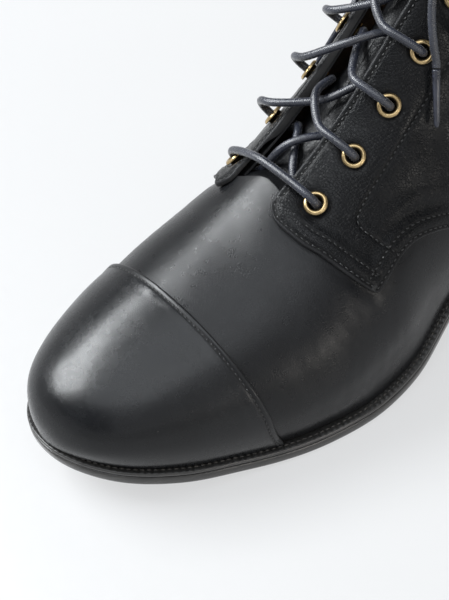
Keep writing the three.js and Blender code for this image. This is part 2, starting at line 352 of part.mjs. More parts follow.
// place by an eyelet: c mm towards the gap along the surface, n mm off it
function at(e, c, n) {
  if (c < 2.5) return e.p.clone().addScaledVector(e.c, c).addScaledVector(e.n, n);
  const t = tauAt(e.side, e.w, (e.side > 0 ? FACING_LAT : FACING_MED) + EYELET_EDGE - c);
  return S(e.side, e.w, t).addScaledVector(normal(e.side, e.w, t), n);
}
const LEDGE = EYELET_EDGE;
const gapPoint = (w, n) => { const t = tauAt(-1, w, (FACING_MED - FACING_LAT)/2); return S(-1, w, t).addScaledVector(normal(-1, w, t), n); };
// strand that starts on the bottom bar and goes in at eyelet 1 of this side
export function lacePoints(first) {
  const E = EY[first], pts = [gapPoint((EY[1][0].w + EY[-1][0].w)/2, 5.2).add(new THREE.Vector3(first*.6, 0, 0))];
  const goIn = (e) => pts.push(at(e, LEDGE - 1, 4.4), at(e, 5.8, 4.7), at(e, 3, 5.0), at(e, .9, 4.7), at(e, -.5, 3.3), at(e, -.5, -3.4), at(e, .9, -5.2), at(e, 3.4, -5.3));
  const goOut = (e, loose) => pts.push(at(e, 3.4, -5.3), at(e, .9, -5.2), at(e, -.5, -3.4), at(e, -.5, 3.2),
    ...(loose ? [at(e, -.4, 5.6), at(e, 1.6, 8.0), at(e, 5.6, 9.2), at(e, LEDGE - 1, 7.6)] : [at(e, .7, 4.7), at(e, 3, 5.0), at(e, 6.5, 4.5), at(e, LEDGE, 4.1), at(e, LEDGE + 2, 3.0)]));
  goIn(E[0]);
  let s = first;
  for (let k = 1; k < EYELETS; k++) {
    const from = EY[s][k-1], to = EY[-s][k], w = (from.w + to.w)/2, top = first < 0;
    if (k === 1) pts.push(at(from, LEDGE, -4.9), gapPoint(w, top ? -.6 : -4.9));
    else pts.push(gapPoint(w, top ? 2.3 : -3.1));
    pts.push(at(to, LEDGE, -4.9));
    goOut(to, to.side < 0 && k < EYELETS - 1);
    s = -s;
  }
  return { pts, end: EY[s][EYELETS-1] };
}
const A = lacePoints(1), B = lacePoints(-1);
// the knot sits over the gap just above the top eyelets
const topMid = A.end.p.clone().lerp(B.end.p, .5), topN = A.end.n.clone().add(B.end.n).normalize();
const upDir = EY[1][6].p.clone().sub(EY[1][5].p).add(EY[-1][6].p.clone().sub(EY[-1][5].p)).normalize();
const KNOT = topMid.clone().addScaledVector(topN, 12.5).addScaledVector(upDir, 3);
const KN = { rx: 6.5, ry: 4.2, rz: 4.0 };
const KX = new THREE.Vector3(1, 0, 0), KZ = topN.clone().addScaledVector(KX, -topN.dot(KX)).normalize(), KY = KZ.clone().cross(KX);
function fromKnot(to, gap = .5) {      // start point on the knot's skin, facing the next point
  const d = to.clone().sub(KNOT).normalize(), r = 1/Math.sqrt((d.dot(KX)/KN.rx)**2 + (d.dot(KY)/KN.ry)**2 + (d.dot(KZ)/KN.rz)**2);
  return KNOT.clone().addScaledVector(d, r + gap);
}
const kp = (x, y, z) => KNOT.clone().addScaledVector(KX, x).addScaledVector(KY, y).addScaledVector(KZ, z);
const on = (side, w, tau, d) => S(side, w, tau).addScaledVector(normal(side, w, tau), d);
for (const L of [A, B]) {              // last run, over the facing edge and up into the knot
  const e = L.end, s = e.side; L.pts.splice(-2);
  L.pts.push(at(e, 9, 5.4)); const q = kp(s*9.6, -.8, .4); L.pts.push(q, fromKnot(q)); }
add('lace_strand_a', tube(A.pts), 0x171a24, .6);
add('lace_strand_b', tube(B.pts), 0x171a24, .6);
{
  let g = new THREE.SphereGeometry(1, 12, 8); g.deleteAttribute('normal'); g.deleteAttribute('uv'); g = mergeVertices(g, 1e-4); g.scale(KN.rx, KN.ry, KN.rz);
  const m = add('lace_knot', geometry(Array.from(g.attributes.position.array), Array.from(g.index.array)), 0x171a24, .6);
  m.quaternion.setFromRotationMatrix(new THREE.Matrix4().makeBasis(KX, KY, KZ)); m.position.copy(KNOT);
}
export const routes = {};
for (const [side, nm] of [[1, 'lateral'], [-1, 'medial']]) {
  const s = side;
  // bow loop, out and back to the knot
  const way = s > 0 ? [[13.2,.17,10.5],[12.6,.165,9.4],[12.1,.165,9],[11.75,.17,8.6],[11.5,.21,7],[11.45,.27,5],[11.7,.34,4.3],[12.3,.36,4.2],[12.9,.32,5],[13.35,.25,8.5]]
    : [[13.3,.22,10.5],[12.8,.33,7.5],[12.2,.37,5.5],[11.7,.4,4.6],[11.5,.46,4.2],[11.8,.51,4.2],[12.4,.49,4.2],[13,.41,5.5],[13.4,.31,9]];
  const out = [kp(s*8, 4.2, 4.2), kp(s*13, 5, 6), ...way.map(([w, t, d]) => on(s, w, t, d)), kp(s*14, 9.5, 6), kp(s*7.5, 8, 4.5)];
  const loop = [fromKnot(out[0]), ...out]; loop.push(fromKnot(out[out.length-1]));
  add(`lace_loop_${nm}`, tube(loop, LACE_R, 24), 0x171a24, .6); routes[`loop_${nm}`] = loop;
  // free end with its aglet
  const ag = s > 0 ? [on(1, 10.85, .225, 4.9), on(1, 10.22, .3, 4.4)] : [on(-1, 10.9, .35, 4.8), on(-1, 10.25, .39, 4.5)];
  const dir = ag[1].clone().sub(ag[0]).normalize(), a0 = ag[0].clone(), a1 = a0.clone().addScaledVector(dir, AGLET_L);
  const mid = s > 0 ? [kp(4.5, -6.5, 3.2), on(1, 13.2, .07, 10.2), on(1, 12.5, .085, 9.8), on(1, 11.9, .11, 9.4), on(1, 11.5, .14, 8.8), on(1, 11.15, .18, 7.2)] : [kp(-4.5, -6.5, 3.2), on(-1, 13.1, .12, 12.4), on(-1, 12.6, .19, 12.8), on(-1, 12.1, .26, 11), on(-1, 11.65, .32, 7.6), on(-1, 11.2, .345, 5.4)];
  const end = [fromKnot(mid[0]), ...mid, a0.clone().addScaledVector(dir, -2), a0.clone().addScaledVector(dir, -.4)];
  add(`lace_end_${nm}`, tube(end, LACE_R, 16), 0x171a24, .6); routes[`end_${nm}`] = end; routes[`aglet_${nm}`] = [a0, a1];
  let g = new THREE.LatheGeometry([[0, 0], [1.3, 0], [1.35, 1], [1.3, AGLET_L - 1.5], [.9, AGLET_L - .2], [0, AGLET_L], [0, 0]].map(p => new THREE.Vector2(p[0], p[1])), 10);
  g.deleteAttribute('normal'); g.deleteAttribute('uv'); g = mergeVertices(g, 1e-4);
  const idx = Array.from(g.index.array), keep = []; for (let i = 0; i < idx.length; i += 3) if (idx[i] !== idx[i+1] && idx[i+1] !== idx[i+2] && idx[i] !== idx[i+2]) keep.push(idx[i], idx[i+1], idx[i+2]);
  const m = add(`aglet_${nm}`, geometry(Array.from(g.attributes.position.array), keep), 0x1c1e26, .25);
  m.quaternion.setFromUnitVectors(new THREE.Vector3(0, 1, 0), dir); m.position.copy(a0);
}
export const info = { KNOT, topN, upDir, EY, A, B };
export { S, Q, normal, facing, tauAt, zb };
// origin at the middle of the box, on the floor
const boot = new THREE.Group(); boot.add(group); group.position.set(-ORIGIN[0], -ORIGIN[1], 0);
export default boot;
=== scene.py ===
# Left cap-toe derby lace-up boot: smooth leather shells, stitching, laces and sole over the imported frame.
import math
import bpy
import numpy as np
from mathutils import Matrix, Vector
from mathutils.geometry import delaunay_2d_cdt


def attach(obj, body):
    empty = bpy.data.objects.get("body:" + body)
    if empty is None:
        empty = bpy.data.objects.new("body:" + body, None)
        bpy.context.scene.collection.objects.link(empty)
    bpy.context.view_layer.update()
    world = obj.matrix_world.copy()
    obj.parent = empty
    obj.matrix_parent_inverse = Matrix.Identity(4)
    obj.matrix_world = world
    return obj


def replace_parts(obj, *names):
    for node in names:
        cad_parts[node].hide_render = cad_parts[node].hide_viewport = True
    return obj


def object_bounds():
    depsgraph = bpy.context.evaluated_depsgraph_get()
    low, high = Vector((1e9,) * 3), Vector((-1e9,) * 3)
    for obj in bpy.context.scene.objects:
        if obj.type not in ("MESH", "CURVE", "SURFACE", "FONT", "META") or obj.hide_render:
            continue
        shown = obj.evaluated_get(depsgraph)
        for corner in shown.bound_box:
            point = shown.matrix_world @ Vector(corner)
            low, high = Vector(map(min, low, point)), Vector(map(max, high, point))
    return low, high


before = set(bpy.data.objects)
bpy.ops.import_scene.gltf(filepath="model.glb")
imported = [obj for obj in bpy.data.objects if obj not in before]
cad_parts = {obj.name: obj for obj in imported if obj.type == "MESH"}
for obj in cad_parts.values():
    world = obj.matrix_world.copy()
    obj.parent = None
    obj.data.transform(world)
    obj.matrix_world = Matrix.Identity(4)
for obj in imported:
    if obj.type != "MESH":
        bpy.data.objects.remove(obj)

CAD_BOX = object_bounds()
OX, OY = 2.65, 2.06                    # middle of the box in the lasting frame, mm

# ------------------------------------------------------------------ camera
AZ, EL, ROLL, DIST = math.radians(53.75), math.radians(48.34), math.radians(-6.78), 0.4178
back = Vector((math.sin(AZ)*math.cos(EL), -math.cos(AZ)*math.cos(EL), math.sin(EL)))
right = Vector((math.cos(AZ), math.sin(AZ), 0.0))
up = back.cross(right)
r2 = right*math.cos(ROLL) + up*math.sin(ROLL)
u2 = up*math.cos(ROLL) - right*math.sin(ROLL)
target = Vector((-0.00629, -0.07397, 0.03162))
cd = bpy.data.cameras.new("view_camera")
cam = bpy.data.objects.new("view_camera", cd)
bpy.context.scene.collection.objects.link(cam)
m = Matrix.Identity(4)
for i, v in enumerate((r2, u2, back)):
    m[0][i], m[1][i], m[2][i] = v.x, v.y, v.z
m.translation = target + back*DIST
cam.matrix_world = m
cd.sensor_width = 36.0
cd.lens = 1213.66/600.0*36.0
cd.clip_start, cd.clip_end = 0.02, 20.0
bpy.context.scene.camera = cam

# ------------------------------------------------------------------ splines
def hermite(x, y, mm):
    x, y, mm = (np.asarray(a, float) for a in (x, y, mm))
    def f(v):
        v = np.asarray(v, float)
        i = np.clip(np.searchsorted(x, v, side="left") - 1, 0, len(x) - 2)
        h = x[i+1] - x[i]
        t = np.clip((v - x[i])/h, 0, 1)
        t2, t3 = t*t, t*t*t
        return (2*t3 - 3*t2 + 1)*y[i] + (t3 - 2*t2 + t)*h*mm[i] + (-2*t3 + 3*t2)*y[i+1] + (t3 - t2)*h*mm[i+1]
    return f

def pchip(x, y):
    n = len(x)
    h = [x[i+1] - x[i] for i in range(n-1)]
    d = [(y[i+1] - y[i])/h[i] for i in range(n-1)]
    mm = [0.0]*n
    for i in range(1, n-1):
        if d[i-1]*d[i] > 0:
            a, b = 2*h[i] + h[i-1], h[i] + 2*h[i-1]
            mm[i] = (a + b)/(a/d[i-1] + b/d[i])
    def end(h0, h1, d0, d1):
        v = ((2*h0 + h1)*d0 - h0*d1)/(h0 + h1)
        if v*d0 <= 0:
            return 0.0
        if d0*d1 <= 0 and abs(v) > 3*abs(d0):
            return 3*d0
        return v
    mm[0], mm[-1] = end(h[0], h[1], d[0], d[1]), end(h[-1], h[-2], d[-1], d[-2])
    return hermite(x, y, mm)

def cubic(x, y):
    n = len(x)
    A = np.zeros((n, n)); r = np.zeros(n)
    A[0, 0] = A[-1, -1] = 1
    for i in range(1, n-1):
        h0, h1 = x[i] - x[i-1], x[i+1] - x[i]
        A[i, i-1], A[i, i], A[i, i+1] = h0, 2*(h0 + h1), h1
        r[i] = 6*((y[i+1] - y[i])/h1 - (y[i] - y[i-1])/h0)
    M = np.linalg.solve(A, r)
    mm = []
    for i in range(n):
        if i < n-1:
            h = x[i+1] - x[i]
            mm.append((y[i+1] - y[i])/h - h*(2*M[i] + M[i+1])/6)
        else:
            h = x[i] - x[i-1]
            mm.append((y[i] - y[i-1])/h + h*(M[i-1] + 2*M[i])/6)
    return hermite(x, y, mm)

def catmull(P, k, closed=False):
    """k samples a segment through P, centripetal."""
    P = np.asarray(P, float); n = len(P); out = []
    segs = n if closed else n-1
    for s in range(segs):
        p1, p2 = P[s], P[(s+1) % n]
        p0 = P[(s-1) % n] if closed or s > 0 else 2*P[0] - P[1]
        p3 = P[(s+2) % n] if closed or s < n-2 else 2*P[-1] - P[-2]
        a, b, c = (math.sqrt(np.linalg.norm(q - p)) for p, q in ((p0, p1), (p1, p2), (p2, p3)))
        b = b if b > 1e-4 else 1.0
        a = a if a > 1e-4 else b
        c = c if c > 1e-4 else b
        t1 = ((p1 - p0)/a - (p2 - p0)/(a + b) + (p2 - p1)/b)*b
        t2 = ((p2 - p1)/b - (p3 - p1)/(b + c) + (p3 - p2)/c)*b
        t = (np.arange(k)/k)[:, None]
        out.append(p1 + t1*t + (-3*p1 + 3*p2 - 2*t1 - t2)*t**2 + (2*p1 - 2*p2 + t1 + t2)*t**3)
    if not closed:
        out.append(P[-1:])
    return np.concatenate(out)

def ss(a, b, x):
    t = np.clip((np.asarray(x, float) - a)/(b - a), 0, 1)
    return t*t*(3 - 2*t)

# ------------------------------------------------------------------ the last, as lofted in the CAD model (mm)
OUT = [[0,0],[4,15],[16,28],[38,35.2],[65,37],[98,36.3],[130,38.4],[158,44.6],[182,51.2],[205,52],[229,47],[251.5,38.6],[272,29.6],[288.5,17.2],[297.4,3.6],[299.6,-7],[297.8,-18],[289,-30],[272,-40],[248,-45.5],[222,-47],[195,-43.5],[165,-35.5],[135,-29.5],[100,-28.5],[65,-32],[38,-32.5],[16,-27],[4,-15]]
ZB_T = [0,40,80,110,140,165,190,205,222,240,260,280,300]
ZB_Z = [27,26.2,24,19.5,13,6.5,1.2,0,0,1.2,4.7,9.3,15.8]
W = [0,.6,1.3,2.2,3.2,4.3,5.5,6.7,7.8,8.9,10,11,12,13,14,15,16,17]
RT = [297.2,297.1,294.9,287,270.6,250.7,231.3,213.4,197.5,181.3,165.4,151.5,138,126.2,116.5,110,105.8,103.7]
RZ = [20.5,26.2,33.2,40.5,46.5,51.6,57.5,64.9,73.6,84.2,97.4,111.7,126.1,142.4,159.7,177.1,189.8,199.5]
YL = [-4,1,8.6,18.2,28.6,37.6,45.6,49.6,48.6,43.6,40.2,38,36.4,35.2,35,37,39,40]
YM = [8,13,19.5,28.2,36.6,42.2,44.4,43.2,39.9,37.2,35.2,33.7,33.6,33.8,34.5,36.8,39,40]
SM = [.61,.62,.62,.66,.70,.71,.72,.73,.73,.72,.73,.72,.65,.545,.486,.47,.47,.47]
K1 = [.62,.62,.62,.60,.58,.56,.54,.50,.44,.40,.40,.42,.46,.50,.54,.56,.56,.56]
XR = [-7,-7,-7,-6.5,-6,-5,-4.5,-4,-3.5,-3,-2.5,-2,-1,0,0,0,0,0]
ETW = [0,.6,1.3,2.2,3.2,4.3,5.5,6.7,7.8,8.9,10,11,12,12.6]
ET = [296,295,291.5,284,269,249,228,206,184,158,126,88,42,0]
BZ, BT = [34,50,70,95,120,150,180,200], [3.2,.2,-.3,2.5,5.5,6,4,3]
BWW, BWZ = [12.6,13,14,15,16,17], [33.69,58,100,138,168,192]
W_TOP, W_HEEL, FEATHER_IN, UPPER_Z, OUTSOLE_T = 15.6, 12.6, 3.2, 6.7, 4.2
HEEL_BREAST, TOP_LIFT, LIFT = 72.0, 6.0, 6.3
EYELET_EDGE, FACING_LAT, FACING_MED = 11.7, 7.0, 13.0
CAP_W, CAP_SWEEP, END = 4.66, .33, .9985
zb, fRT, fRZ, fYL, fYM = pchip(ZB_T, ZB_Z), cubic(W, RT), cubic(W, RZ), pchip(W, YL), pchip(W, YM)
fSM, fK1, fXR, fET, fBT, fBZ = pchip(W, SM), pchip(W, K1), pchip(W, XR), pchip(ETW, ET), cubic(BZ, BT), pchip(BWW, BWZ)
outline = catmull(OUT, 40, closed=True)

def inset(d):
    a, b = np.roll(outline, 6, 0), np.roll(outline, -6, 0)
    t = b - a
    l = np.linalg.norm(t, axis=1)
    return np.stack([outline[:, 0] + t[:, 1]/l*d, outline[:, 1] - t[:, 0]/l*d], 1)

def halves(q):
    i0, i1, n = int(np.argmin(q[:, 0])), int(np.argmax(q[:, 0])), len(q)
    L = [q[(i0 + k) % n] for k in range((i1 - i0) % n + 1)]
    M = [q[(i0 - k) % n] for k in range((i0 - i1) % n + 1)]
    def mono(A):
        B = [A[0]]
        for p in A:
            if p[0] > B[-1][0] + 1e-9:
                B.append(p)
        return np.array(B)
    return mono(L), mono(M), q[i0][0], q[i1][0]

SOLE_L, SOLE_M, SOLE_T0, SOLE_T1 = halves(outline)
KIN = (150 - FEATHER_IN)/150

def feather(side, t):
    tt = np.clip(150 + (t - 150)/KIN, SOLE_T0, SOLE_T1)
    a, b = np.interp(tt, SOLE_L[:, 0], SOLE_L[:, 1]), np.interp(tt, SOLE_M[:, 0], SOLE_M[:, 1])
    ax = (a + b)/2
    x = np.where(side > 0, a, b)
    half = np.abs(x - ax)
    return ax + (x - ax)*np.maximum(half - FEATHER_IN, 0)/np.maximum(half, 1e-6)

FMIN, FMAX = 150 + (SOLE_T0 - 150)*KIN, 150 + (SOLE_T1 - 150)*KIN

def bez(a, b, c, d, u):
    v = 1 - u
    return v*v*v*a + 3*u*v*v*b + 3*u*u*v*c + u*u*u*d

def S(side, w, tau):
    """Point of the lasted surface; arrays of side (+1 lateral), station w and tau. Returns (n, 3) mm, lasting frame."""
    side, w, tau = np.broadcast_arrays(np.asarray(side, float), np.asarray(w, float), np.asarray(tau, float))
    rt, rz, xr = fRT(w), fRZ(w), fXR(w)
    low = w < W_HEEL
    et1 = np.clip(fET(np.minimum(w, W_HEEL)), FMIN, FMAX)
    ez2 = fBZ(np.maximum(w, W_HEEL))
    et = np.where(low, et1, fBT(ez2))
    ez = np.where(low, zb(et1) + UPPER_Z, ez2)
    xe = np.where(low, feather(side, et1), 0.0)
    ym = np.where(side > 0, fYL(w), -fYM(w))
    sm = fSM(w)
    op = np.clip((W_HEEL - w)/.6, 0, 1)
    op = op*op*(3 - 2*op)
    ts = .6
    u = np.clip(tau/ts, 0, 1)
    v = np.clip((tau - ts)/(1 - ts), 0, 1)
    hx = 1 - sm
    s = np.where(tau <= ts, bez(0, 0, sm*.45, sm, u), bez(sm, sm + hx*.5, 1 - hx*.35*op, 1, v))
    y = np.where(tau <= ts, bez(xr, xr + (ym - xr)*fK1(w), ym, ym, u),
                 bez(ym, ym, xe + (ym - xe)*(.75*op + .56*(1 - op)), xe, v))
    return np.stack([y, 150 - (rt + (et - rt)*s), rz + (ez - rz)*s], -1)

def normals(side, w, tau, e=.012):
    side, w, tau = np.broadcast_arrays(np.asarray(side, float), np.asarray(w, float), np.asarray(tau, float))
    a = np.where((tau < e)[..., None], S(-side, w, e), S(side, w, np.clip(tau - e, 0, 1)))
    bk = (tau > 1 - e) & (w >= W_HEEL)
    a = np.where(bk[..., None], S(side, w, 1 - e), a)
    b = np.where((tau < e)[..., None], S(side, w, e + tau), S(side, w, np.minimum(1, tau + e)))
    b = np.where(bk[..., None], S(-side, w, 1 - e), b)
    dt = b - a
    dw = S(side, np.minimum(w + e, 17), tau) - S(side, np.maximum(w - e, 0), tau)
    n = np.cross(dw, dt)*(-side)[..., None]
    return n/np.maximum(np.linalg.norm(n, axis=-1, keepdims=True), 1e-9)

def to_frame(P):
    P = np.asarray(P, float)
    return np.stack([(P[..., 0] - OX)/1000, (P[..., 1] - OY)/1000, P[..., 2]/1000], -1)

def lift(P, N, d):
    Q = P + N*np.asarray(d)[..., None]
    Q[..., 2] = np.maximum(Q[..., 2], zb(150 - Q[..., 1]) + UPPER_Z)
    return Q

def tau_at(side, w, dist):
    t = np.linspace(0, .9, 201)
    P = S(side, np.full(201, float(w)), t)
    c = np.concatenate([[0], np.cumsum(np.linalg.norm(np.diff(P, axis=0), axis=1))])
    return float(np.interp(dist, c, t))

def facing(side, w, extra=0.0):
    return tau_at(side, w, (FACING_LAT if side > 0 else FACING_MED) + extra)

# ------------------------------------------------------------------ mesh making
WT = np.linspace(0, 17, 1701)
_ridge = S(1.0, WT, 0.0)
ARC = np.concatenate([[0], np.cumsum(np.linalg.norm(np.diff(_ridge, axis=0), axis=1))]) + WT*2.0
_tt = np.linspace(0, 1, 61)
SEC = np.array([sum(np.linalg.norm(np.diff(S(s, np.full(61, w), _tt), axis=0), axis=1).sum() for s in (1, -1))/2 for w in WT[::10]])
def sec_len(w):
    return np.interp(w, WT[::10], SEC)

def to_chart(w, b):
    return np.interp(w, WT, ARC), b*sec_len(w)
def from_chart(X, Y):
    w = np.interp(X, ARC, WT)
    return w, Y/sec_len(w)

def split(chart, b, side):
    """side and tau of a signed chart coordinate."""
    if side:
        return np.full(len(b), float(side)), np.clip(b, 0, 1)
    s = np.where(b >= 0, 1.0, -1.0)
    return s, np.clip(np.abs(b), 0, 1) if chart == "ridge" else np.clip(1 - np.abs(b), 0, 1)

def at(chart, side, w, b, d=0.0):
    s, t = split(chart, b, side)
    P = S(s, w, t)
    return P if np.isscalar(d) and d == 0.0 else P + normals(s, w, t)*np.asarray(d)[..., None]

def inside(poly, pts):
    x, y = pts[:, 0], pts[:, 1]
    r = np.zeros(len(pts), bool)
    a, b = poly, np.roll(poly, -1, 0)
    for (x0, y0), (x1, y1) in zip(a, b):
        if y0 == y1:
            continue
        c = (y0 > y) != (y1 > y)
        r ^= c & (x < (x1 - x0)*(y - y0)/(y1 - y0) + x0)
    return r

def near(P, Q, block=4000):
    """Distance from each P to the polyline points Q and the nearest index."""
    D, I = np.empty(len(P)), np.empty(len(P), int)
    q2 = (Q*Q).sum(1)
    for i in range(0, len(P), block):
        p = P[i:i+block]
        d = (p*p).sum(1)[:, None] + q2[None] - 2*p @ Q.T
        j = d.argmin(1)
        I[i:i+block] = j
        D[i:i+block] = np.sqrt(np.maximum(d[np.arange(len(p)), j], 0))
    return D, I

def seg_dist(P, Q, closed=True):
    """Distance from each P to the polyline Q."""
    D, I = near(P, Q)
    n = len(Q)
    best = D.copy()
    for o in (-1, 0):
        a, b = I + o, I + o + 1
        if closed:
            a, b = a % n, b % n
        else:
            a, b = np.clip(a, 0, n-1), np.clip(b, 0, n-1)
        A, B = Q[a], Q[b]
        ab = B - A
        t = np.clip(((P - A)*ab).sum(1)/np.maximum((ab*ab).sum(1), 1e-12), 0, 1)
        best = np.minimum(best, np.linalg.norm(P - A - ab*t[:, None], axis=1))
    return best

def resample(chart, side, pts, step):
    """Boundary or row in (w, b) with points about step mm apart."""
    pts = np.asarray(pts, float)
    out = [pts[0]]
    for p, q in zip(pts[:-1], pts[1:]):
        k = 12
        t = np.linspace(0, 1, k+1)[:, None]
        R = p + (q - p)*t
        l = np.linalg.norm(np.diff(at(chart, side, R[:, 0], R[:, 1]), axis=0), axis=1)
        c = np.concatenate([[0], np.cumsum(l)])
        n = max(1, int(round(c[-1]/step)))
        u = np.interp(np.linspace(0, c[-1], n+1)[1:], c, t[:, 0])[:, None]
        out.extend(p + (q - p)*u)
    return np.array(out)

def shifted(chart, side, pts, delta, closed=True):
    """pts moved sideways on the surface by delta mm (to the left of their direction)."""
    e = 1e-3
    w, b = pts[:, 0], pts[:, 1]
    if closed:
        tw, tb = np.roll(w, -1) - np.roll(w, 1), np.roll(b, -1) - np.roll(b, 1)
    else:
        tw, tb = np.gradient(w), np.gradient(b)
    P0 = at(chart, side, w, b)
    sw = (at(chart, side, np.clip(w + e, 0, 17), b) - at(chart, side, np.clip(w - e, 0, 17), b))/(np.clip(w + e, 0, 17) - np.clip(w - e, 0, 17))[:, None]
    lo, hi = (b - e, b + e) if not side else (np.clip(b - e, 0, 1), np.clip(b + e, 0, 1))
    if not side:
        lo, hi = np.clip(lo, -1, 1), np.clip(hi, -1, 1)
    sb = (at(chart, side, w, hi) - at(chart, side, w, lo))/(hi - lo)[:, None]
    T = sw*tw[:, None] + sb*tb[:, None]
    T /= np.maximum(np.linalg.norm(T, axis=1, keepdims=True), 1e-9)
    N = np.cross(sw, sb)
    N /= np.maximum(np.linalg.norm(N, axis=1, keepdims=True), 1e-9)
    D = np.cross(N, T)*delta
    a11, a12, a22 = (sw*sw).sum(1), (sw*sb).sum(1), (sb*sb).sum(1)
    b1, b2 = (sw*D).sum(1), (sb*D).sum(1)
    det = np.maximum(a11*a22 - a12*a12, 1e-9)
    return np.stack([w + (a22*b1 - a12*b2)/det, b + (a11*b2 - a12*b1)/det], 1)

RINGS = [(.08, .9), (.2, .9), (.38, .95), (.62, 1.0), (1.1, 1.2)]
def link(name, me):
    o = bpy.data.objects.new(name, me)
    bpy.context.scene.collection.objects.link(o)
    return o

def mesh(name, V, F, mats, fmat=None, uv=None, attrs=None, sharp=None, smooth=True):
    me = bpy.data.meshes.new(name)
    me.from_pydata([tuple(v) for v in np.asarray(V, float).tolist()], [], [tuple(f) for f in F])
    for mt in mats:
        me.materials.append(mt)
    if fmat is not None:
        me.polygons.foreach_set("material_index", np.asarray(fmat, np.int32))
    me.polygons.foreach_set("use_smooth", np.full(len(me.polygons), smooth))
    if uv is not None:
        layer = me.uv_layers.new(name="UVMap")
        vi = np.empty(len(me.loops), np.int32)
        me.loops.foreach_get("vertex_index", vi)
        layer.data.foreach_set("uv", np.asarray(uv, float)[vi].astype(np.float32).ravel())
    for k, a in (attrs or {}).items():
        at_ = me.attributes.new(k, "FLOAT", "POINT")
        at_.data.foreach_set("value", np.asarray(a, np.float32))
    if sharp:
        es = {}
        for e in me.edges:
            es[tuple(sorted(e.vertices))] = e.index
        at_ = me.attributes.get("sharp_edge") or me.attributes.new("sharp_edge", "BOOLEAN", "EDGE")
        flags = np.zeros(len(me.edges), bool)
        for e in sharp:
            k = es.get(tuple(sorted(e)))
            if k is not None:
                flags[k] = True
        at_.data.foreach_set("value", flags)
    me.validate()
    me.update()
    return link(name, me)

def relax(P, N, F, w, t, fe, rounds=45):
    """Even out the surface where the sections turn round the heel, then take the normals from the evened mesh."""
    m = ss(11.75, 12.2, w)*(1 - ss(13.0, 13.6, w))*ss(.15, .35, t)
    if m.max() < .01:
        return P, N
    E = np.unique(np.sort(np.concatenate([F[:, [0, 1]], F[:, [1, 2]], F[:, [2, 0]]]), axis=1), axis=0)
    a, b = np.concatenate([E[:, 0], E[:, 1]]), np.concatenate([E[:, 1], E[:, 0]])
    cnt = np.bincount(a, minlength=len(P)).astype(float)[:, None]
    def mean(Q):
        return np.stack([np.bincount(a, Q[b, k], len(P)) for k in range(3)], 1)/cnt
    mp = (m*ss(.9, 3.0, fe))[:, None]
    Q = P.copy()
    for _ in range(rounds):
        Q += (mean(Q) - Q)*mp*.85
    fn = np.cross(Q[F[:, 1]] - Q[F[:, 0]], Q[F[:, 2]] - Q[F[:, 0]])
    nv = np.stack([sum(np.bincount(F[:, c], fn[:, k], len(P)) for c in range(3)) for k in range(3)], 1)
    nv /= np.maximum(np.linalg.norm(nv, axis=1, keepdims=True), 1e-9)
    far = m < .01
    if (nv[far]*N[far]).sum() < 0:
        nv = -nv
    for _ in range(14):
        nv = mean(nv)*.6 + nv*.4
        nv /= np.maximum(np.linalg.norm(nv, axis=1, keepdims=True), 1e-9)
    N2 = N*(1 - m[:, None]) + nv*m[:, None]
    return Q, N2/np.maximum(np.linalg.norm(N2, axis=1, keepdims=True), 1e-9)

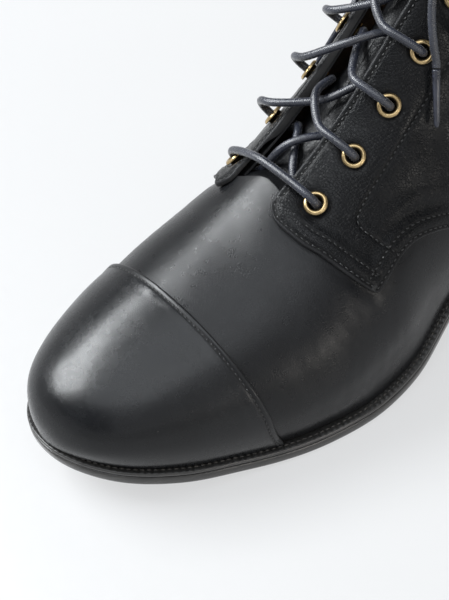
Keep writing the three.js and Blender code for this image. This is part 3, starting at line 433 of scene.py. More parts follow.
def shell(name, poly, d_in, d_out, mats, chart="ridge", side=0, h=1.8, edge_r=.45, step=.9, rows=(), relief=None, holes=(), deform=None):
    """A thick leather piece: poly in (w, b); rows are lines whose groove needs fine points; relief(s, w, t, P, edge distance) adds to the top."""
    B = resample(chart, side, list(poly) + [poly[0]], step)[:-1]
    X, Y = to_chart(B[:, 0], B[:, 1])
    if (X*np.roll(Y, -1) - np.roll(X, -1)*Y).sum() < 0:
        B = B[::-1].copy(); X, Y = X[::-1].copy(), Y[::-1].copy()
    BP = at(chart, side, B[:, 0], B[:, 1])
    sgn = 1.0
    test = shifted(chart, side, B, .5)
    tx = np.stack(to_chart(test[:, 0], test[:, 1]), 1)
    PB = np.stack([X, Y], 1)
    if inside(PB, tx).mean() < .5:
        sgn = -1.0
    pts, chunks = PB, []
    for dl, _ in RINGS:
        R = shifted(chart, side, B, sgn*dl)
        c = np.stack(to_chart(R[:, 0], R[:, 1]), 1)
        P3 = at(chart, side, R[:, 0], R[:, 1])
        ok = inside(PB, c) & (seg_dist(P3, BP) > dl*.86)
        chunks.append(c[ok])
    hole_edges, hole_pts, hole_c = [], [], []
    for (hs, hw, ht, hr) in holes:
        a = np.linspace(0, 2*math.pi, 25)[:-1]
        c0 = np.array([[hw, ht]])
        e = 1e-3
        sw = (S(hs, hw + e, ht) - S(hs, hw - e, ht))/(2*e)
        sb = (S(hs, hw, ht + e) - S(hs, hw, ht - e))/(2*e)
        u = sw/np.linalg.norm(sw)
        v = sb - u*(sb @ u)
        v /= np.linalg.norm(v)
        D = (np.cos(a)[:, None]*u + np.sin(a)[:, None]*v)*hr
        a11, a12, a22 = sw @ sw, sw @ sb, sb @ sb
        det = a11*a22 - a12*a12
        b1, b2 = D @ sw, D @ sb
        q = np.stack([hw + (a22*b1 - a12*b2)/det, ht + (a11*b2 - a12*b1)/det], 1)
        hole_pts.append(np.stack(to_chart(q[:, 0], q[:, 1]), 1))
        hole_c.append(S(hs, hw, ht))
    # interior points, evenly spread over the real surface
    bmin, bmax = B[:, 1].min(), B[:, 1].max()
    L = float(sec_len((B[:, 0].min() + B[:, 0].max())/2))
    nb = max(4, int(math.ceil((bmax - bmin)*L/h)))
    grid = []
    ws = np.linspace(B[:, 0].min(), B[:, 0].max(), 260)
    for k in range(1, nb):
        b = bmin + (bmax - bmin)*k/nb
        P = at(chart, side, ws, np.full(260, b))
        c = np.concatenate([[0], np.cumsum(np.linalg.norm(np.diff(P, axis=0), axis=1))])
        n = max(2, int(c[-1]/h))
        u = np.interp((np.arange(n) + (.25 if k % 2 else .75))/n*c[-1], c, ws)
        grid.append(np.stack([u, np.full(n, b)], 1))
    G = np.concatenate(grid)
    gx = np.stack(to_chart(G[:, 0], G[:, 1]), 1)
    ok = inside(PB, gx)
    G, gx = G[ok], gx[ok]
    G3 = at(chart, side, G[:, 0], G[:, 1])
    ok = near(G3, BP)[0] > 1.1 + h*.45
    rowpts = []
    row3 = []
    for row in rows:
        R = resample(chart, side, row, .8)
        row3.append(at(chart, side, R[:, 0], R[:, 1]))
        for dl in (-1.0, -.5, 0, .5, 1.0):
            q = R if dl == 0 else shifted(chart, side, R, dl, closed=False)
            c = np.stack(to_chart(q[:, 0], q[:, 1]), 1)
            P3 = at(chart, side, q[:, 0], q[:, 1])
            m_ = inside(PB, c) & (seg_dist(P3, BP) > 1.3)
            rowpts.append(c[m_])
    if row3:
        ok &= near(G3, np.concatenate(row3))[0] > 1.0 + h*.4
    for c in hole_c:
        ok &= np.linalg.norm(G3 - c, axis=1) > 5.2
    allp = [PB] + chunks + rowpts + [gx[ok]]
    if hole_c:
        for i in range(1, len(allp)):
            if len(allp[i]):
                w_, b_ = from_chart(allp[i][:, 0], allp[i][:, 1])
                P3 = at(chart, side, w_, b_)
                keep = np.ones(len(P3), bool)
                for c, (_, _, _, hr) in zip(hole_c, holes):
                    keep &= np.linalg.norm(P3 - c, axis=1) > hr + .45
                allp[i] = allp[i][keep]
    edges = [(i, (i+1) % len(PB)) for i in range(len(PB))]
    base = sum(len(a) for a in allp)
    for hp in hole_pts:
        edges += [(base + i, base + (i+1) % len(hp)) for i in range(len(hp))]
        base += len(hp)
    P2 = np.concatenate(allp + hole_pts)
    vs, _, fs, _, _, _ = delaunay_2d_cdt([Vector(p) for p in P2.tolist()], edges, [], 0, 1e-5)
    V2 = np.array([(v.x, v.y) for v in vs])
    F = np.array([f for f in fs if len(f) == 3])
    C = V2[F].mean(1)
    keep = inside(PB, C)
    for hp in hole_pts:
        keep &= ~inside(hp, C)
    F = F[keep]
    used = np.unique(F)
    remap = -np.ones(len(V2), int)
    remap[used] = np.arange(len(used))
    V2, F = V2[used], remap[F]
    w, b = from_chart(V2[:, 0], V2[:, 1])
    s, t = split(chart, b, side)
    P, N = S(s, w, t), normals(s, w, t)
    fe = seg_dist(P, BP)
    dist = fe.copy()
    for hp in hole_pts:
        w_, b_ = from_chart(hp[:, 0], hp[:, 1])
        dist = np.minimum(dist, seg_dist(P, at(chart, side, w_, b_)) + .15)
    q = np.clip(edge_r - dist, 0, edge_r)
    drop = edge_r - np.sqrt(np.maximum(edge_r**2 - q**2, 0))
    do = d_out(s, w, t) if callable(d_out) else np.full(len(w), float(d_out))
    di = d_in(s, w, t) if callable(d_in) else np.full(len(w), float(d_in))
    re = relief(s, w, t, P, fe) if relief else 0.0
    a_, b2_, c_ = P[F[:, 0]], P[F[:, 1]], P[F[:, 2]]
    o = (np.cross(b2_ - a_, c_ - a_)*N[F[:, 0]]).sum(1)
    F = np.where((o < 0)[:, None], F[:, [0, 2, 1]], F) if abs(np.sign(o).mean()) < .9 else (F if o.sum() > 0 else F[:, [0, 2, 1]])
    if side and w.max() > 12.4:
        P, N = relax(P, N, F, w, t, fe)
    top = lift(P, N, do + re - drop)
    bot = lift(P, N, di + np.clip(.25 - dist, 0, .25)*.4)
    if deform is not None:
        top, bot = deform(top, s, w, t), deform(bot, s, w, t)
    n = len(P)
    E = {}
    for f in F.tolist():
        for i in range(3):
            e = (f[i], f[(i+1) % 3])
            if (e[1], e[0]) in E:
                del E[(e[1], e[0])]
            else:
                E[e] = 1
    faces = F.tolist() + [[i + n for i in f[::-1]] for f in F.tolist()]
    fm = [0]*len(F) + [2 if len(mats) > 2 else 0]*len(F)
    sharp = []
    for i, j in E:
        faces.append([j, i, i + n, j + n])
        fm.append(1 if len(mats) > 1 else 0)
        sharp.append((i + n, j + n))
    V = to_frame(np.concatenate([top, bot]))
    uvv = np.stack(to_chart(w, b), 1)/1000
    # row is nearness to the stitch rows; the leather materials use it to paint shade along the grooves and to roughen
    # the leather there
    rd_ = np.min([seg_dist(P, q, closed=False) for q in row3], axis=0) if row3 else np.full(n, 9.0)
    ob = mesh(name, V, faces, mats, fm, np.concatenate([uvv, uvv]),
              {"edge": np.tile(np.exp(-(dist/.7)**2), 2), "tau": np.tile(t, 2), "stn": np.tile(w, 2), "row": np.concatenate([np.exp(-(rd_/.5)**2), np.zeros(n)])}, sharp)
    return ob

def row_dist(rows):
    """Distance function to rows given as (side, [(w, tau)])."""
    L = []
    for side, r in rows:
        R = resample("ridge", side, r, .5)
        L.append(S(float(side), R[:, 0], R[:, 1]))
    return lambda P: np.min([seg_dist(P, q, closed=False) for q in L], axis=0) if L else np.full(len(P), 99.0)

def groove(d, depth=.16, width=.55):
    """A pressed stitch line with the leather swelling a little on both sides of it."""
    return -depth*np.exp(-(d/width)**2) + depth*.42*np.exp(-((d - 1.15)/.55)**2)

def smooth_row(pts, k=10):
    return [tuple(p) for p in catmull(pts, k)]

def shift_row(side, pts, delta, k=1):
    R = resample("ridge", side, pts, 1.2)
    q = shifted("ridge", side, R, delta, closed=False)
    return [(float(a), float(min(max(b, 0), 1))) for a, b in q[::k]]

def stitches(name, rows, mat, body="boot", pitch=2.1, length=1.55, r=.24, top=.02):
    """rows: list of (side, [(w, tau)], offset of the leather's face). Each stitch is its own bent length of thread."""
    V, F, A = [], [], []
    ns, nr = 7, 6
    rng = np.random.default_rng(5)
    for side, row, off in rows:
        R = resample("ridge", side, row, .4)
        d = off(R[:, 0], R[:, 1]) if callable(off) else np.full(len(R), float(off))
        sd = np.full(len(R), float(side))
        P, N = S(sd, R[:, 0], R[:, 1]), normals(sd, R[:, 0], R[:, 1])
        Q = lift(P, N, d)
        c = np.concatenate([[0], np.cumsum(np.linalg.norm(np.diff(Q, axis=0), axis=1))])
        k = max(1, int(c[-1]/pitch))
        for j in range(k):
            mid = (j + .5)*c[-1]/k
            u = np.linspace(-1, 1, ns)
            sp = mid + u*length/2*(1 + rng.normal()*.03)
            if sp[0] < 0 or sp[-1] > c[-1]:
                continue
            base = np.stack([np.interp(sp, c, Q[:, a]) for a in range(3)], 1)
            nn = np.stack([np.interp(sp, c, N[:, a]) for a in range(3)], 1)
            nn /= np.linalg.norm(nn, axis=1, keepdims=True)
            T = np.gradient(base, axis=0)
            T /= np.linalg.norm(T, axis=1, keepdims=True)
            Bn = np.cross(T, nn)
            skew = rng.normal()*.04 + .08
            centre = base + nn*(top - .42*np.abs(u)**3.2)[:, None] + Bn*(skew*u)[:, None]
            rad = r*(1 - .45*np.abs(u)**4)
            v0 = len(V)
            for i in range(ns):
                for a in range(nr):
                    th = 2*math.pi*a/nr
                    V.append(centre[i] + (Bn[i]*math.cos(th) + nn[i]*math.sin(th)*.8)*rad[i])
                    A.append((j + i/ns)*.5)
            for i in range(ns-1):
                for a in range(nr):
                    b_ = (a+1) % nr
                    F.append([v0+i*nr+a, v0+i*nr+b_, v0+(i+1)*nr+b_, v0+(i+1)*nr+a])
            F.append([v0+a for a in range(nr)][::-1])
            F.append([v0+(ns-1)*nr+a for a in range(nr)])
    o = mesh(name, to_frame(np.array(V)), F, [mat])
    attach(o, body)
    return o

def frames(P, closed=False, up_hint=None):
    T = np.gradient(P, axis=0)
    if closed:
        T = np.roll(P, -1, 0) - np.roll(P, 1, 0)
    T /= np.linalg.norm(T, axis=1, keepdims=True)
    a = np.array(up_hint if up_hint is not None else [0, 0, 1.0], float)
    if abs(T[0] @ a)/np.linalg.norm(a) > .95:
        a = np.array([1.0, 0, 0])
    U = [np.cross(T[0], a)]
    U[0] /= np.linalg.norm(U[0])
    for i in range(1, len(P)):
        u = U[-1] - T[i]*(U[-1] @ T[i])
        U.append(u/np.linalg.norm(u))
    U = np.array(U)
    return T, U, np.cross(T, U)

def lace(name, pts, mat, r=1.3, step=.45, sides=24, braid=.10, pitch=3.6, ends=(.85, .85), k=None, add_to=None, smooth=2):
    """Round braided lace along pts (mm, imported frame): eight strands crossing over and under."""
    C = catmull(pts, k or 40)
    c = np.concatenate([[0], np.cumsum(np.linalg.norm(np.diff(C, axis=0), axis=1))])
    n = max(8, int(c[-1]/step))
    sp = np.linspace(0, c[-1], n+1)
    P = np.stack([np.interp(sp, c, C[:, a]) for a in range(3)], 1)
    for _ in range(smooth):
        P[1:-1] = P[1:-1]*.5 + (P[:-2] + P[2:])*.25
    T, U, B = frames(P)
    th = np.linspace(0, 2*math.pi, sides, endpoint=False)
    x, y = 4*th[None] + sp[:, None]*2*math.pi/pitch, 4*th[None] - sp[:, None]*2*math.pi/pitch
    over = np.sign(np.sin(x/1.0)*np.sin(y/1.0))
    rr = r*(1 - .02) + braid*(np.where(over > 0, np.abs(np.cos(x)), np.abs(np.cos(y)))**.8 - .55)
    f = np.minimum(1, np.minimum((sp - 0)/.9 + ends[0], (c[-1] - sp)/.9 + ends[1]))
    rr = rr*np.clip(f, 0, 1)[:, None]
    V = P[:, None] + (U[:, None]*np.cos(th)[None, :, None] + B[:, None]*np.sin(th)[None, :, None])*rr[..., None]
    V = V.reshape(-1, 3)
    F = []
    m_ = sides
    for i in range(n):
        a0, a1 = i*m_, (i+1)*m_
        for a in range(m_):
            b_ = (a+1) % m_
            F.append([a0+a, a0+b_, a1+b_, a1+a])
    c0, c1 = len(V), len(V)+1
    V = np.concatenate([V, [P[0] - T[0]*.15], [P[-1] + T[-1]*.15]])
    for a in range(m_):
        F.append([c0, (a+1) % m_, a])
        F.append([c1, n*m_ + a, n*m_ + (a+1) % m_])
    uv = np.concatenate([np.stack([np.repeat(sp, m_)/1000, np.tile(th, n+1)/(2*math.pi)], 1), [[0, 0]], [[c[-1]/1000, 0]]])
    if add_to is not None:
        v0 = sum(len(q[0]) for q in add_to)
        add_to.append((V, [[i + v0 for i in f] for f in F], uv))
        return P, c[-1]
    o = mesh(name, V/1000, F, [mat], uv=uv)
    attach(o, "boot")
    return o, P, c[-1]

def wob(P, wl, seed, n=7):
    rng = np.random.default_rng(seed)
    d = rng.normal(size=(n, 3))
    d /= np.linalg.norm(d, axis=1, keepdims=True)
    kk = 2*math.pi/(wl*rng.uniform(.7, 1.4, n))
    ph = rng.uniform(0, 2*math.pi, n)
    return np.sin((P @ d.T)*kk + ph).sum(1)/math.sqrt(n/2)

# ------------------------------------------------------------------ lace routes and eyelets, millimetres in this frame
ROUTE = {
    "A": [(-9.28,-50.23,78.91),(2.69,-49.68,77.64),(7.94,-49.42,76.65),(10.92,-49.27,75.98),(13.01,-48.86,74.94),(13.76,-48.14,73.26),(11.17,-45.28,67.78),(9.19,-44.65,66.84),(7.12,-44.65,67.58),(0.04,-45.05,69.96),(-7.92,-37.28,75.29),(-14.61,-28.6,77.14),(-19.69,-27.19,72.04),(-21.18,-26.83,70.5),(-23.46,-26.96,70.48),(-28.6,-28.77,74.2),(-30.41,-29.46,75.62),(-31.03,-30.64,78.45),(-28.55,-32.58,82.42),(-22.92,-33.67,85.05),(-7.62,-22.58,88.3),(0.1,-13.38,93.17),(6.16,-11.91,89.79),(7.94,-11.53,88.68),(10.14,-12,89.05),(14.16,-15.24,93.16),(14.12,-16.33,94.74),(12.17,-17.31,96.2),(8.57,-18.12,97.59),(3.05,-19.19,99.37),(0.55,-18.83,99.18),(-7.02,-9.32,100.7),(-12.25,-0.39,101.31),(-16.46,2.97,96.21),(-17.74,3.97,94.68),(-20,4.15,94.44),(-25.7,2.23,97.16),(-27.72,1.48,98.22),(-28.78,-0.23,100.61),(-27.14,-3.16,104.19),(-22.14,-5.53,107.07),(-6.31,3.58,114.1),(0.63,12.99,120.22),(5.71,16.02,116.96),(7.22,16.98,115.88),(9.49,16.89,115.91),(14.53,13.77,118.82),(14.9,12.41,120.13),(13.34,10.85,121.59),(10.09,9.16,123.22),(4.83,6.93,125.39),(2.19,6.98,125.44),(-5.4,15.28,127.24),(-10.21,24.06,128.85),(-14.14,28.88,124.89),(-15.34,30.34,123.69),(-17.59,30.69,123.49),(-23.42,28.41,125.57),(-25.5,27.51,126.38),(-26.68,25.3,128.24),(-25.26,21.6,131.12),(-20.41,18.42,133.49),(-4.9,25.89,142.63),(2.34,34.01,151.53),(7.73,37.5,149.88),(9.28,38.63,149.31),(11.54,38.34,149.25),(16.28,34.02,150.83),(16.53,32.29,151.61),(14.77,30.5,152.67),(11.28,28.72,153.83),(9.22,26.68,154.98),(4.31,25.67,152.12),(1.64,25.85,152.3)],
    "B": [(-10.48,-50.23,78.91),(-21.52,-48.34,73.83),(-26.11,-47.5,70.99),(-28.64,-47.01,69.24),(-30.16,-46.43,67.44),(-30.09,-45.89,65.53),(-25.22,-44.39,61.19),(-22.95,-44.2,61.02),(-21.36,-44.33,62.45),(-15.87,-44.96,67.19),(-8.71,-39.23,79.06),(0.09,-28.47,80.73),(6.68,-27.62,77.76),(8.6,-27.47,76.8),(10.71,-28.05,77.44),(14.04,-31.09,82.25),(13.77,-32,83.92),(11.64,-32.66,85.26),(7.93,-33.07,86.37),(2.34,-33.61,87.77),(-0.06,-33.17,87.37),(-8.9,-26.25,92.07),(-13.43,-13.72,88.61),(-18.09,-11.43,83.36),(-19.47,-10.78,81.78),(-21.75,-10.77,81.63),(-27.19,-12.66,84.84),(-29.12,-13.39,86.09),(-29.97,-14.83,88.72),(-27.91,-17.3,92.55),(-22.57,-19.03,95.37),(-8.57,-12.64,104.7),(0.08,-0.08,106.59),(5.61,2.21,103.14),(7.24,2.9,102.01),(9.5,2.65,102.19),(14.12,-0.45,105.73),(14.32,-1.67,107.21),(12.57,-2.97,108.7),(9.15,-4.27,110.27),(3.75,-5.97,112.31),(1.17,-5.78,112.26),(-8.06,-0.37,117.38),(-11.26,12.46,114.53),(-15.29,16.64,109.94),(-16.52,17.9,108.55),(-18.77,18.16,108.3),(-24.56,16.06,110.67),(-26.62,15.23,111.6),(-27.76,13.27,113.74),(-26.27,10.02,117.08),(-21.38,7.29,119.84),(-7.03,11.49,130.74),(1.51,24.44,135.28),(6.36,28.29,132.81),(7.79,29.53,131.96),(10.06,29.41,131.75),(15.25,25.68,133.36),(15.71,24.05,134.28),(14.25,22.27,135.6),(11.11,20.31,137.19),(5.93,17.7,139.3),(3.27,17.71,139.45),(-6.17,21.12,144.9),(-11.24,33.62,145.25),(-15.82,38.5,142.67),(-17.16,39.98,141.84),(-19.42,40.01,141.51),(-24.89,36.45,142.49),(-25.48,34.77,143.22),(-24.24,32.83,144.41),(-21.45,30.56,145.93),(-20.19,28.24,147.29),(-14.89,25.67,152.12),(-12.22,25.85,152.3)],
    "loop_lateral": [(-0.68,24.74,155.81),(2.71,23.6,158.05),(7.71,22.13,159.37),(19.72,23.97,144.47),(18.54,18.9,132.46),(17.61,12.86,125.75),(17.33,8.27,120.27),(19.76,8.48,112.82),(23.47,13.86,105.49),(28.32,26.16,100.63),(29.4,41.32,107.09),(27.43,42.08,125.03),(25.4,34.34,141.55),(8.71,23.52,163.65),(2.21,24.49,161.76),(-1.97,25.5,156.75)],
    "loop_medial": [(-9.9,24.74,155.81),(-13.29,23.6,158.05),(-18.29,22.13,159.37),(-29.24,29.72,142.81),(-34.62,42.09,121.37),(-34.96,40.35,104.26),(-35.55,33.65,92.58),(-37.74,37.21,81.05),(-39.3,51.73,77.51),(-38.82,65.38,90.16),(-37.2,56.06,118.61),(-34.94,41.63,137.99),(-19.29,23.52,163.65),(-12.79,24.49,161.76),(-8.62,25.5,156.75)],
    "end_lateral": [(-2.63,23.31,149.69),(-0.79,21.25,147.57),(7.71,17,149.72),(9.76,11.3,137.15),(11.48,5.54,126.89),(13.89,2.24,119.21),(16.59,0.56,110.88),(18.41,0.43,103.77),(19.01,-0.11,102.38)],
    "end_medial": [(-7.96,23.31,149.69),(-9.79,21.25,147.57),(-20.56,17.74,146.26),(-28.73,20.09,131.14),(-32.93,22.58,117.46),(-33.85,22.26,103.06),(-33.25,16.9,93.41),(-32.66,12.56,90.51),(-32.91,11.57,89.28)],
    "aglet_lateral": [(19.15,-0.24,102.04),(26.04,-6.42,86.02)],
    "aglet_medial": [(-32.97,11.33,88.97),(-35.86,-0.14,74.74)],
}
EYELET = {   # place, axis, way to the gap, station, tau
    1: [((12.02,-46.78,70.75), (0.3856,-0.4255,0.8187), (-0.9185,-0.0929,0.3843), 7.9300, 0.1547),((12.00,-29.71,80.16), (0.5048,-0.4612,0.7297), (-0.8582,-0.1776,0.4815), 9.0199, 0.1752),((11.82,-13.82,91.44), (0.6090,-0.4907,0.6231), (-0.7890,-0.2939,0.5396), 10.0217, 0.1824),((11.53,0.84,104.30), (0.7006,-0.4705,0.5364), (-0.7128,-0.4269,0.5565), 10.9496, 0.1815),((11.77,15.01,117.68), (0.7632,-0.4726,0.4406), (-0.6459,-0.5387,0.5410), 11.8818, 0.1780),((12.43,27.17,132.81), (0.7874,-0.5660,0.2443), (-0.6076,-0.6458,0.4624), 12.7737, 0.1780),((13.64,35.80,150.24), (0.7179,-0.6536,0.2394), (-0.6917,-0.6314,0.3504), 13.6903, 0.1868)],
    -1: [((-27.35,-45.23,63.75), (-0.7274,-0.2252,0.6483), (0.6839,-0.1599,0.7118), 7.9300, 0.2634),((-25.80,-28.02,72.76), (-0.7792,-0.2750,0.5633), (0.6242,-0.2586,0.7372), 8.9740, 0.2717),((-24.27,-11.93,83.65), (-0.8249,-0.2874,0.4867), (0.5646,-0.3782,0.7336), 9.9269, 0.2669),((-22.68,2.91,96.19), (-0.8635,-0.2910,0.4121), (0.5044,-0.5065,0.6993), 10.8037, 0.2559),((-21.52,16.78,109.84), (-0.8771,-0.3189,0.3593), (0.4802,-0.6002,0.6397), 11.6877, 0.2392),((-20.36,29.17,124.84), (-0.8840,-0.3456,0.3150), (0.4668,-0.6915,0.5513), 12.5470, 0.2219),((-21.96,37.82,142.23), (-0.8287,-0.5399,0.1476), (0.5460,-0.7215,0.4260), 13.4060, 0.2365)],
}
KNOT_C = (-5.293,26.299,152.762)
KNOT_N = (-0.08791,-0.94755,0.30727)

# ------------------------------------------------------------------ materials
class Mat:
    def __init__(self, name):
        self.m = bpy.data.materials.new(name)
        self.m.use_nodes = True
        self.t = self.m.node_tree
        self.t.nodes.clear()
        self.out = self.t.nodes.new("ShaderNodeOutputMaterial")
        self.b = self.t.nodes.new("ShaderNodeBsdfPrincipled")
        self.t.links.new(self.b.outputs[0], self.out.inputs[0])
        self.co = self.t.nodes.new("ShaderNodeTexCoord").outputs["Object"]
    def set(self, **kw):
        for k, v in kw.items():
            s = self.b.inputs[k.replace("_", " ")]
            s.default_value = v
        return self
    def to(self, k, v):
        self.t.links.new(v, self.b.inputs[k])
        return self
    def _in(self, s, v):
        if isinstance(v, (int, float, tuple, list)):
            s.default_value = v if not isinstance(v, (tuple, list)) or len(v) != 3 or s.type != "RGBA" else (*v, 1)
        else:
            self.t.links.new(v, s)
    def math(self, op, a, b=None, c=None, clamp=False):
        n = self.t.nodes.new("ShaderNodeMath")
        n.operation, n.use_clamp = op, clamp
        for i, v in enumerate((a, b, c)):
            if v is not None:
                self._in(n.inputs[i], v)
        return n.outputs[0]
    def noise(self, mm, detail=2.0, rough=.5, co=None, dist=0.0):
        n = self.t.nodes.new("ShaderNodeTexNoise")
        n.inputs["Scale"].default_value = 1000.0/mm
        n.inputs["Detail"].default_value = detail
        n.inputs["Roughness"].default_value = rough
        n.inputs["Distortion"].default_value = dist
        self.t.links.new(co or self.co, n.inputs["Vector"])
        return n.outputs["Fac"]
    def voronoi(self, mm, feature="F1", co=None, out="Distance", rnd=1.0):
        n = self.t.nodes.new("ShaderNodeTexVoronoi")
        n.feature = feature
        n.inputs["Scale"].default_value = 1000.0/mm
        n.inputs["Randomness"].default_value = rnd
        self.t.links.new(co or self.co, n.inputs["Vector"])
        return n.outputs[out]
    def remap(self, v, a, b, c=0.0, d=1.0, smooth=False):
        n = self.t.nodes.new("ShaderNodeMapRange")
        n.interpolation_type = "SMOOTHSTEP" if smooth else "LINEAR"
        for i, x in enumerate((v, a, b, c, d)):
            self._in(n.inputs[i], x)
        return n.outputs[0]
    def mix(self, f, a, b):
        n = self.t.nodes.new("ShaderNodeMix")
        n.data_type = "RGBA"
        self._in(n.inputs[0], f)
        self._in(n.inputs[6], a)
        self._in(n.inputs[7], b)
        return n.outputs[2]
    def attr(self, name):
        n = self.t.nodes.new("ShaderNodeAttribute")
        n.attribute_name = name
        return n.outputs["Fac"]
    def vec(self, x, y, z=0.0):
        n = self.t.nodes.new("ShaderNodeCombineXYZ")
        for i, v in enumerate((x, y, z)):
            self._in(n.inputs[i], v)
        return n.outputs[0]
    def xyz(self, v=None):
        n = self.t.nodes.new("ShaderNodeSeparateXYZ")
        self.t.links.new(v or self.co, n.inputs[0])
        return n.outputs
    def uv(self):
        return self.t.nodes.new("ShaderNodeTexCoord").outputs["UV"]
    def warp(self, mm, amount):
        n = self.t.nodes.new("ShaderNodeTexNoise")
        n.inputs["Scale"].default_value = 1000.0/mm
        self.t.links.new(self.co, n.inputs["Vector"])
        s = self.t.nodes.new("ShaderNodeVectorMath")
        s.operation = "SCALE"
        self.t.links.new(n.outputs["Color"], s.inputs[0])
        s.inputs["Scale"].default_value = amount/1000.0
        a = self.t.nodes.new("ShaderNodeVectorMath")
        a.operation = "ADD"
        self.t.links.new(self.co, a.inputs[0])
        self.t.links.new(s.outputs[0], a.inputs[1])
        return a.outputs[0]
    def bump(self, height, strength=1.0):
        n = self.t.nodes.new("ShaderNodeBump")
        n.inputs["Distance"].default_value = .001
        n.inputs["Strength"].default_value = strength
        self.t.links.new(height, n.inputs["Height"])
        self.t.links.new(n.outputs[0], self.b.inputs["Normal"])
        return self
    def sum(self, *v):
        r = v[0]
        for x in v[1:]:
            r = self.math("ADD", r, x)
        return r

def leather(name, base, tone, rough, grain=.75, grain_h=.022, fine_h=.006, wave_h=.0, crease_h=0.0, crease_at=None, specks=.5, wear=(.026, .0255, .026), coat=0.0, spec=.5, front=None):
    """Finished leather: cells of grain with thin valleys, fine pores, slow waves, flex creases and a few dust specks;
    the grain lines and the stitch rows are darkened with painted shade, and the edges are paler, partly from wear and
    partly as a painted highlight.
    """
    q = Mat(name)
    wc_ = q.warp(2.4, .55)
    cell = q.voronoi(grain, "DISTANCE_TO_EDGE", wc_)
    valley = q.remap(cell, 0.0, .16, 0.0, 1.0, True)
    soft = q.voronoi(grain*2.3, "F1", wc_)
    fine = q.noise(.16, 2.0, .6)
    mid = q.noise(2.2, 3.0, .55)
    big = q.noise(26.0, 2.0, .5)
    patch = q.noise(8.0, 3.0, .55)
    hs = [q.math("MULTIPLY", valley, grain_h), q.math("MULTIPLY", soft, -grain_h*.55), q.math("MULTIPLY", fine, fine_h), q.math("MULTIPLY", mid, grain_h*1.1)]
    if wave_h:
        hs.append(q.math("MULTIPLY", q.noise(6.5, 1.0, .4), wave_h))
    if crease_h:
        w_, t_ = q.attr("stn"), q.attr("tau")
        cv = q.vec(q.math("MULTIPLY", w_, .0118), q.math("MULTIPLY", t_, .0042), 0.0)
        line = q.noise(1.0*3.4, 3.0, .62, cv, 1.4)
        ridge = q.math("ABSOLUTE", q.math("SUBTRACT", line, .5))
        ridge = q.remap(ridge, 0.0, .07, -1.0, 0.0, True)
        a, b = crease_at
        m_ = q.math("MULTIPLY", q.remap(w_, a - .6, a + .3, 0, 1, True), q.remap(w_, b - .3, b + .7, 1, 0, True))
        m_ = q.math("MULTIPLY", m_, q.remap(q.noise(14.0, 1.0), .38, .62, .15, 1.0, True))
        m_ = q.math("MULTIPLY", m_, q.remap(t_, .34, .52, 0, 1, True))
        hs.append(q.math("MULTIPLY", q.math("MULTIPLY", ridge, m_), crease_h))
    q.bump(q.sum(*hs))
    c = q.mix(q.remap(big, .3, .7), base, tone)
    c = q.mix(q.math("MULTIPLY", q.remap(patch, .45, .75), .35), c, tuple(min(1, x*1.5 + .002) for x in base))
    # painted shade: the colour is darkened along the grain lines between the cells, where shade falls
    c = q.mix(q.math("MULTIPLY", q.math("SUBTRACT", 1.0, valley), .25), c, tuple(x*.5 for x in base))
    # painted shade: the colour is darkened close to the stitch rows, standing in for shade in the pressed grooves; the
    # same mask also roughens the leather there
    stitch_row_shade_mask = q.attr("row")
    c = q.mix(q.math("MULTIPLY", stitch_row_shade_mask, .8), c, tuple(x*.2 for x in base))
    # painted highlight and wear: the colour is paler near the cut edges, partly worn leather and partly a painted
    # highlight along the edge
    e = q.math("MULTIPLY", q.attr("edge"), q.remap(patch, .3, .7, .35, .9))
    c = q.mix(q.math("MULTIPLY", e, .4), c, wear)
    dust = None
    if specks:
        d1 = q.remap(q.voronoi(7.5, "F1"), .010, .022, 1.0, 0.0, True)
        d2 = q.remap(q.voronoi(3.1, "F1"), .012, .028, 1.0, 0.0, True)
        gate = q.remap(q.noise(19.0, 2.0), .5, .62, 0, 1, True)
        dust = q.math("MULTIPLY", q.math("MAXIMUM", d1, q.math("MULTIPLY", d2, gate)), specks)
        c = q.mix(dust, c, (.3, .29, .27))
    if front is not None:
        # the lining is coloured near-black up to tau = front and undyed tan beyond it
        c = q.mix(q.remap(q.attr("tau"), front - .002, front + .002), (.012, .0122, .0135), c)
    q.to("Base Color", c)
    r = q.remap(q.math("ADD", q.math("MULTIPLY", patch, .55), q.math("MULTIPLY", mid, .45)), .32, .68, rough[0], rough[1])
    r = q.math("ADD", q.math("ADD", r, q.math("MULTIPLY", e, .12)), q.math("MULTIPLY", stitch_row_shade_mask, .4))
    if dust is not None:
        r = q.math("ADD", r, q.math("MULTIPLY", dust, .5), clamp=True)
    q.to("Roughness", r)
    q.set(IOR=1.5)
    q.b.inputs["Specular IOR Level"].default_value = spec
    if coat:
        q.b.inputs["Coat Weight"].default_value = coat
        q.b.inputs["Coat Roughness"].default_value = .13
    return q.m

M_CAP = leather("polished_cap_leather", (.0050, .0054, .0062), (.0078, .0083, .0094), (.20, .32), grain=.7, grain_h=.010, fine_h=.003, wave_h=.005, specks=.25, coat=.06, spec=.25)
M_VAMP = leather("vamp_leather", (.0050, .0053, .0060), (.0078, .0081, .0092), (.24, .36), grain=.8, grain_h=.015, fine_h=.005, wave_h=.005, specks=.10, spec=.22)
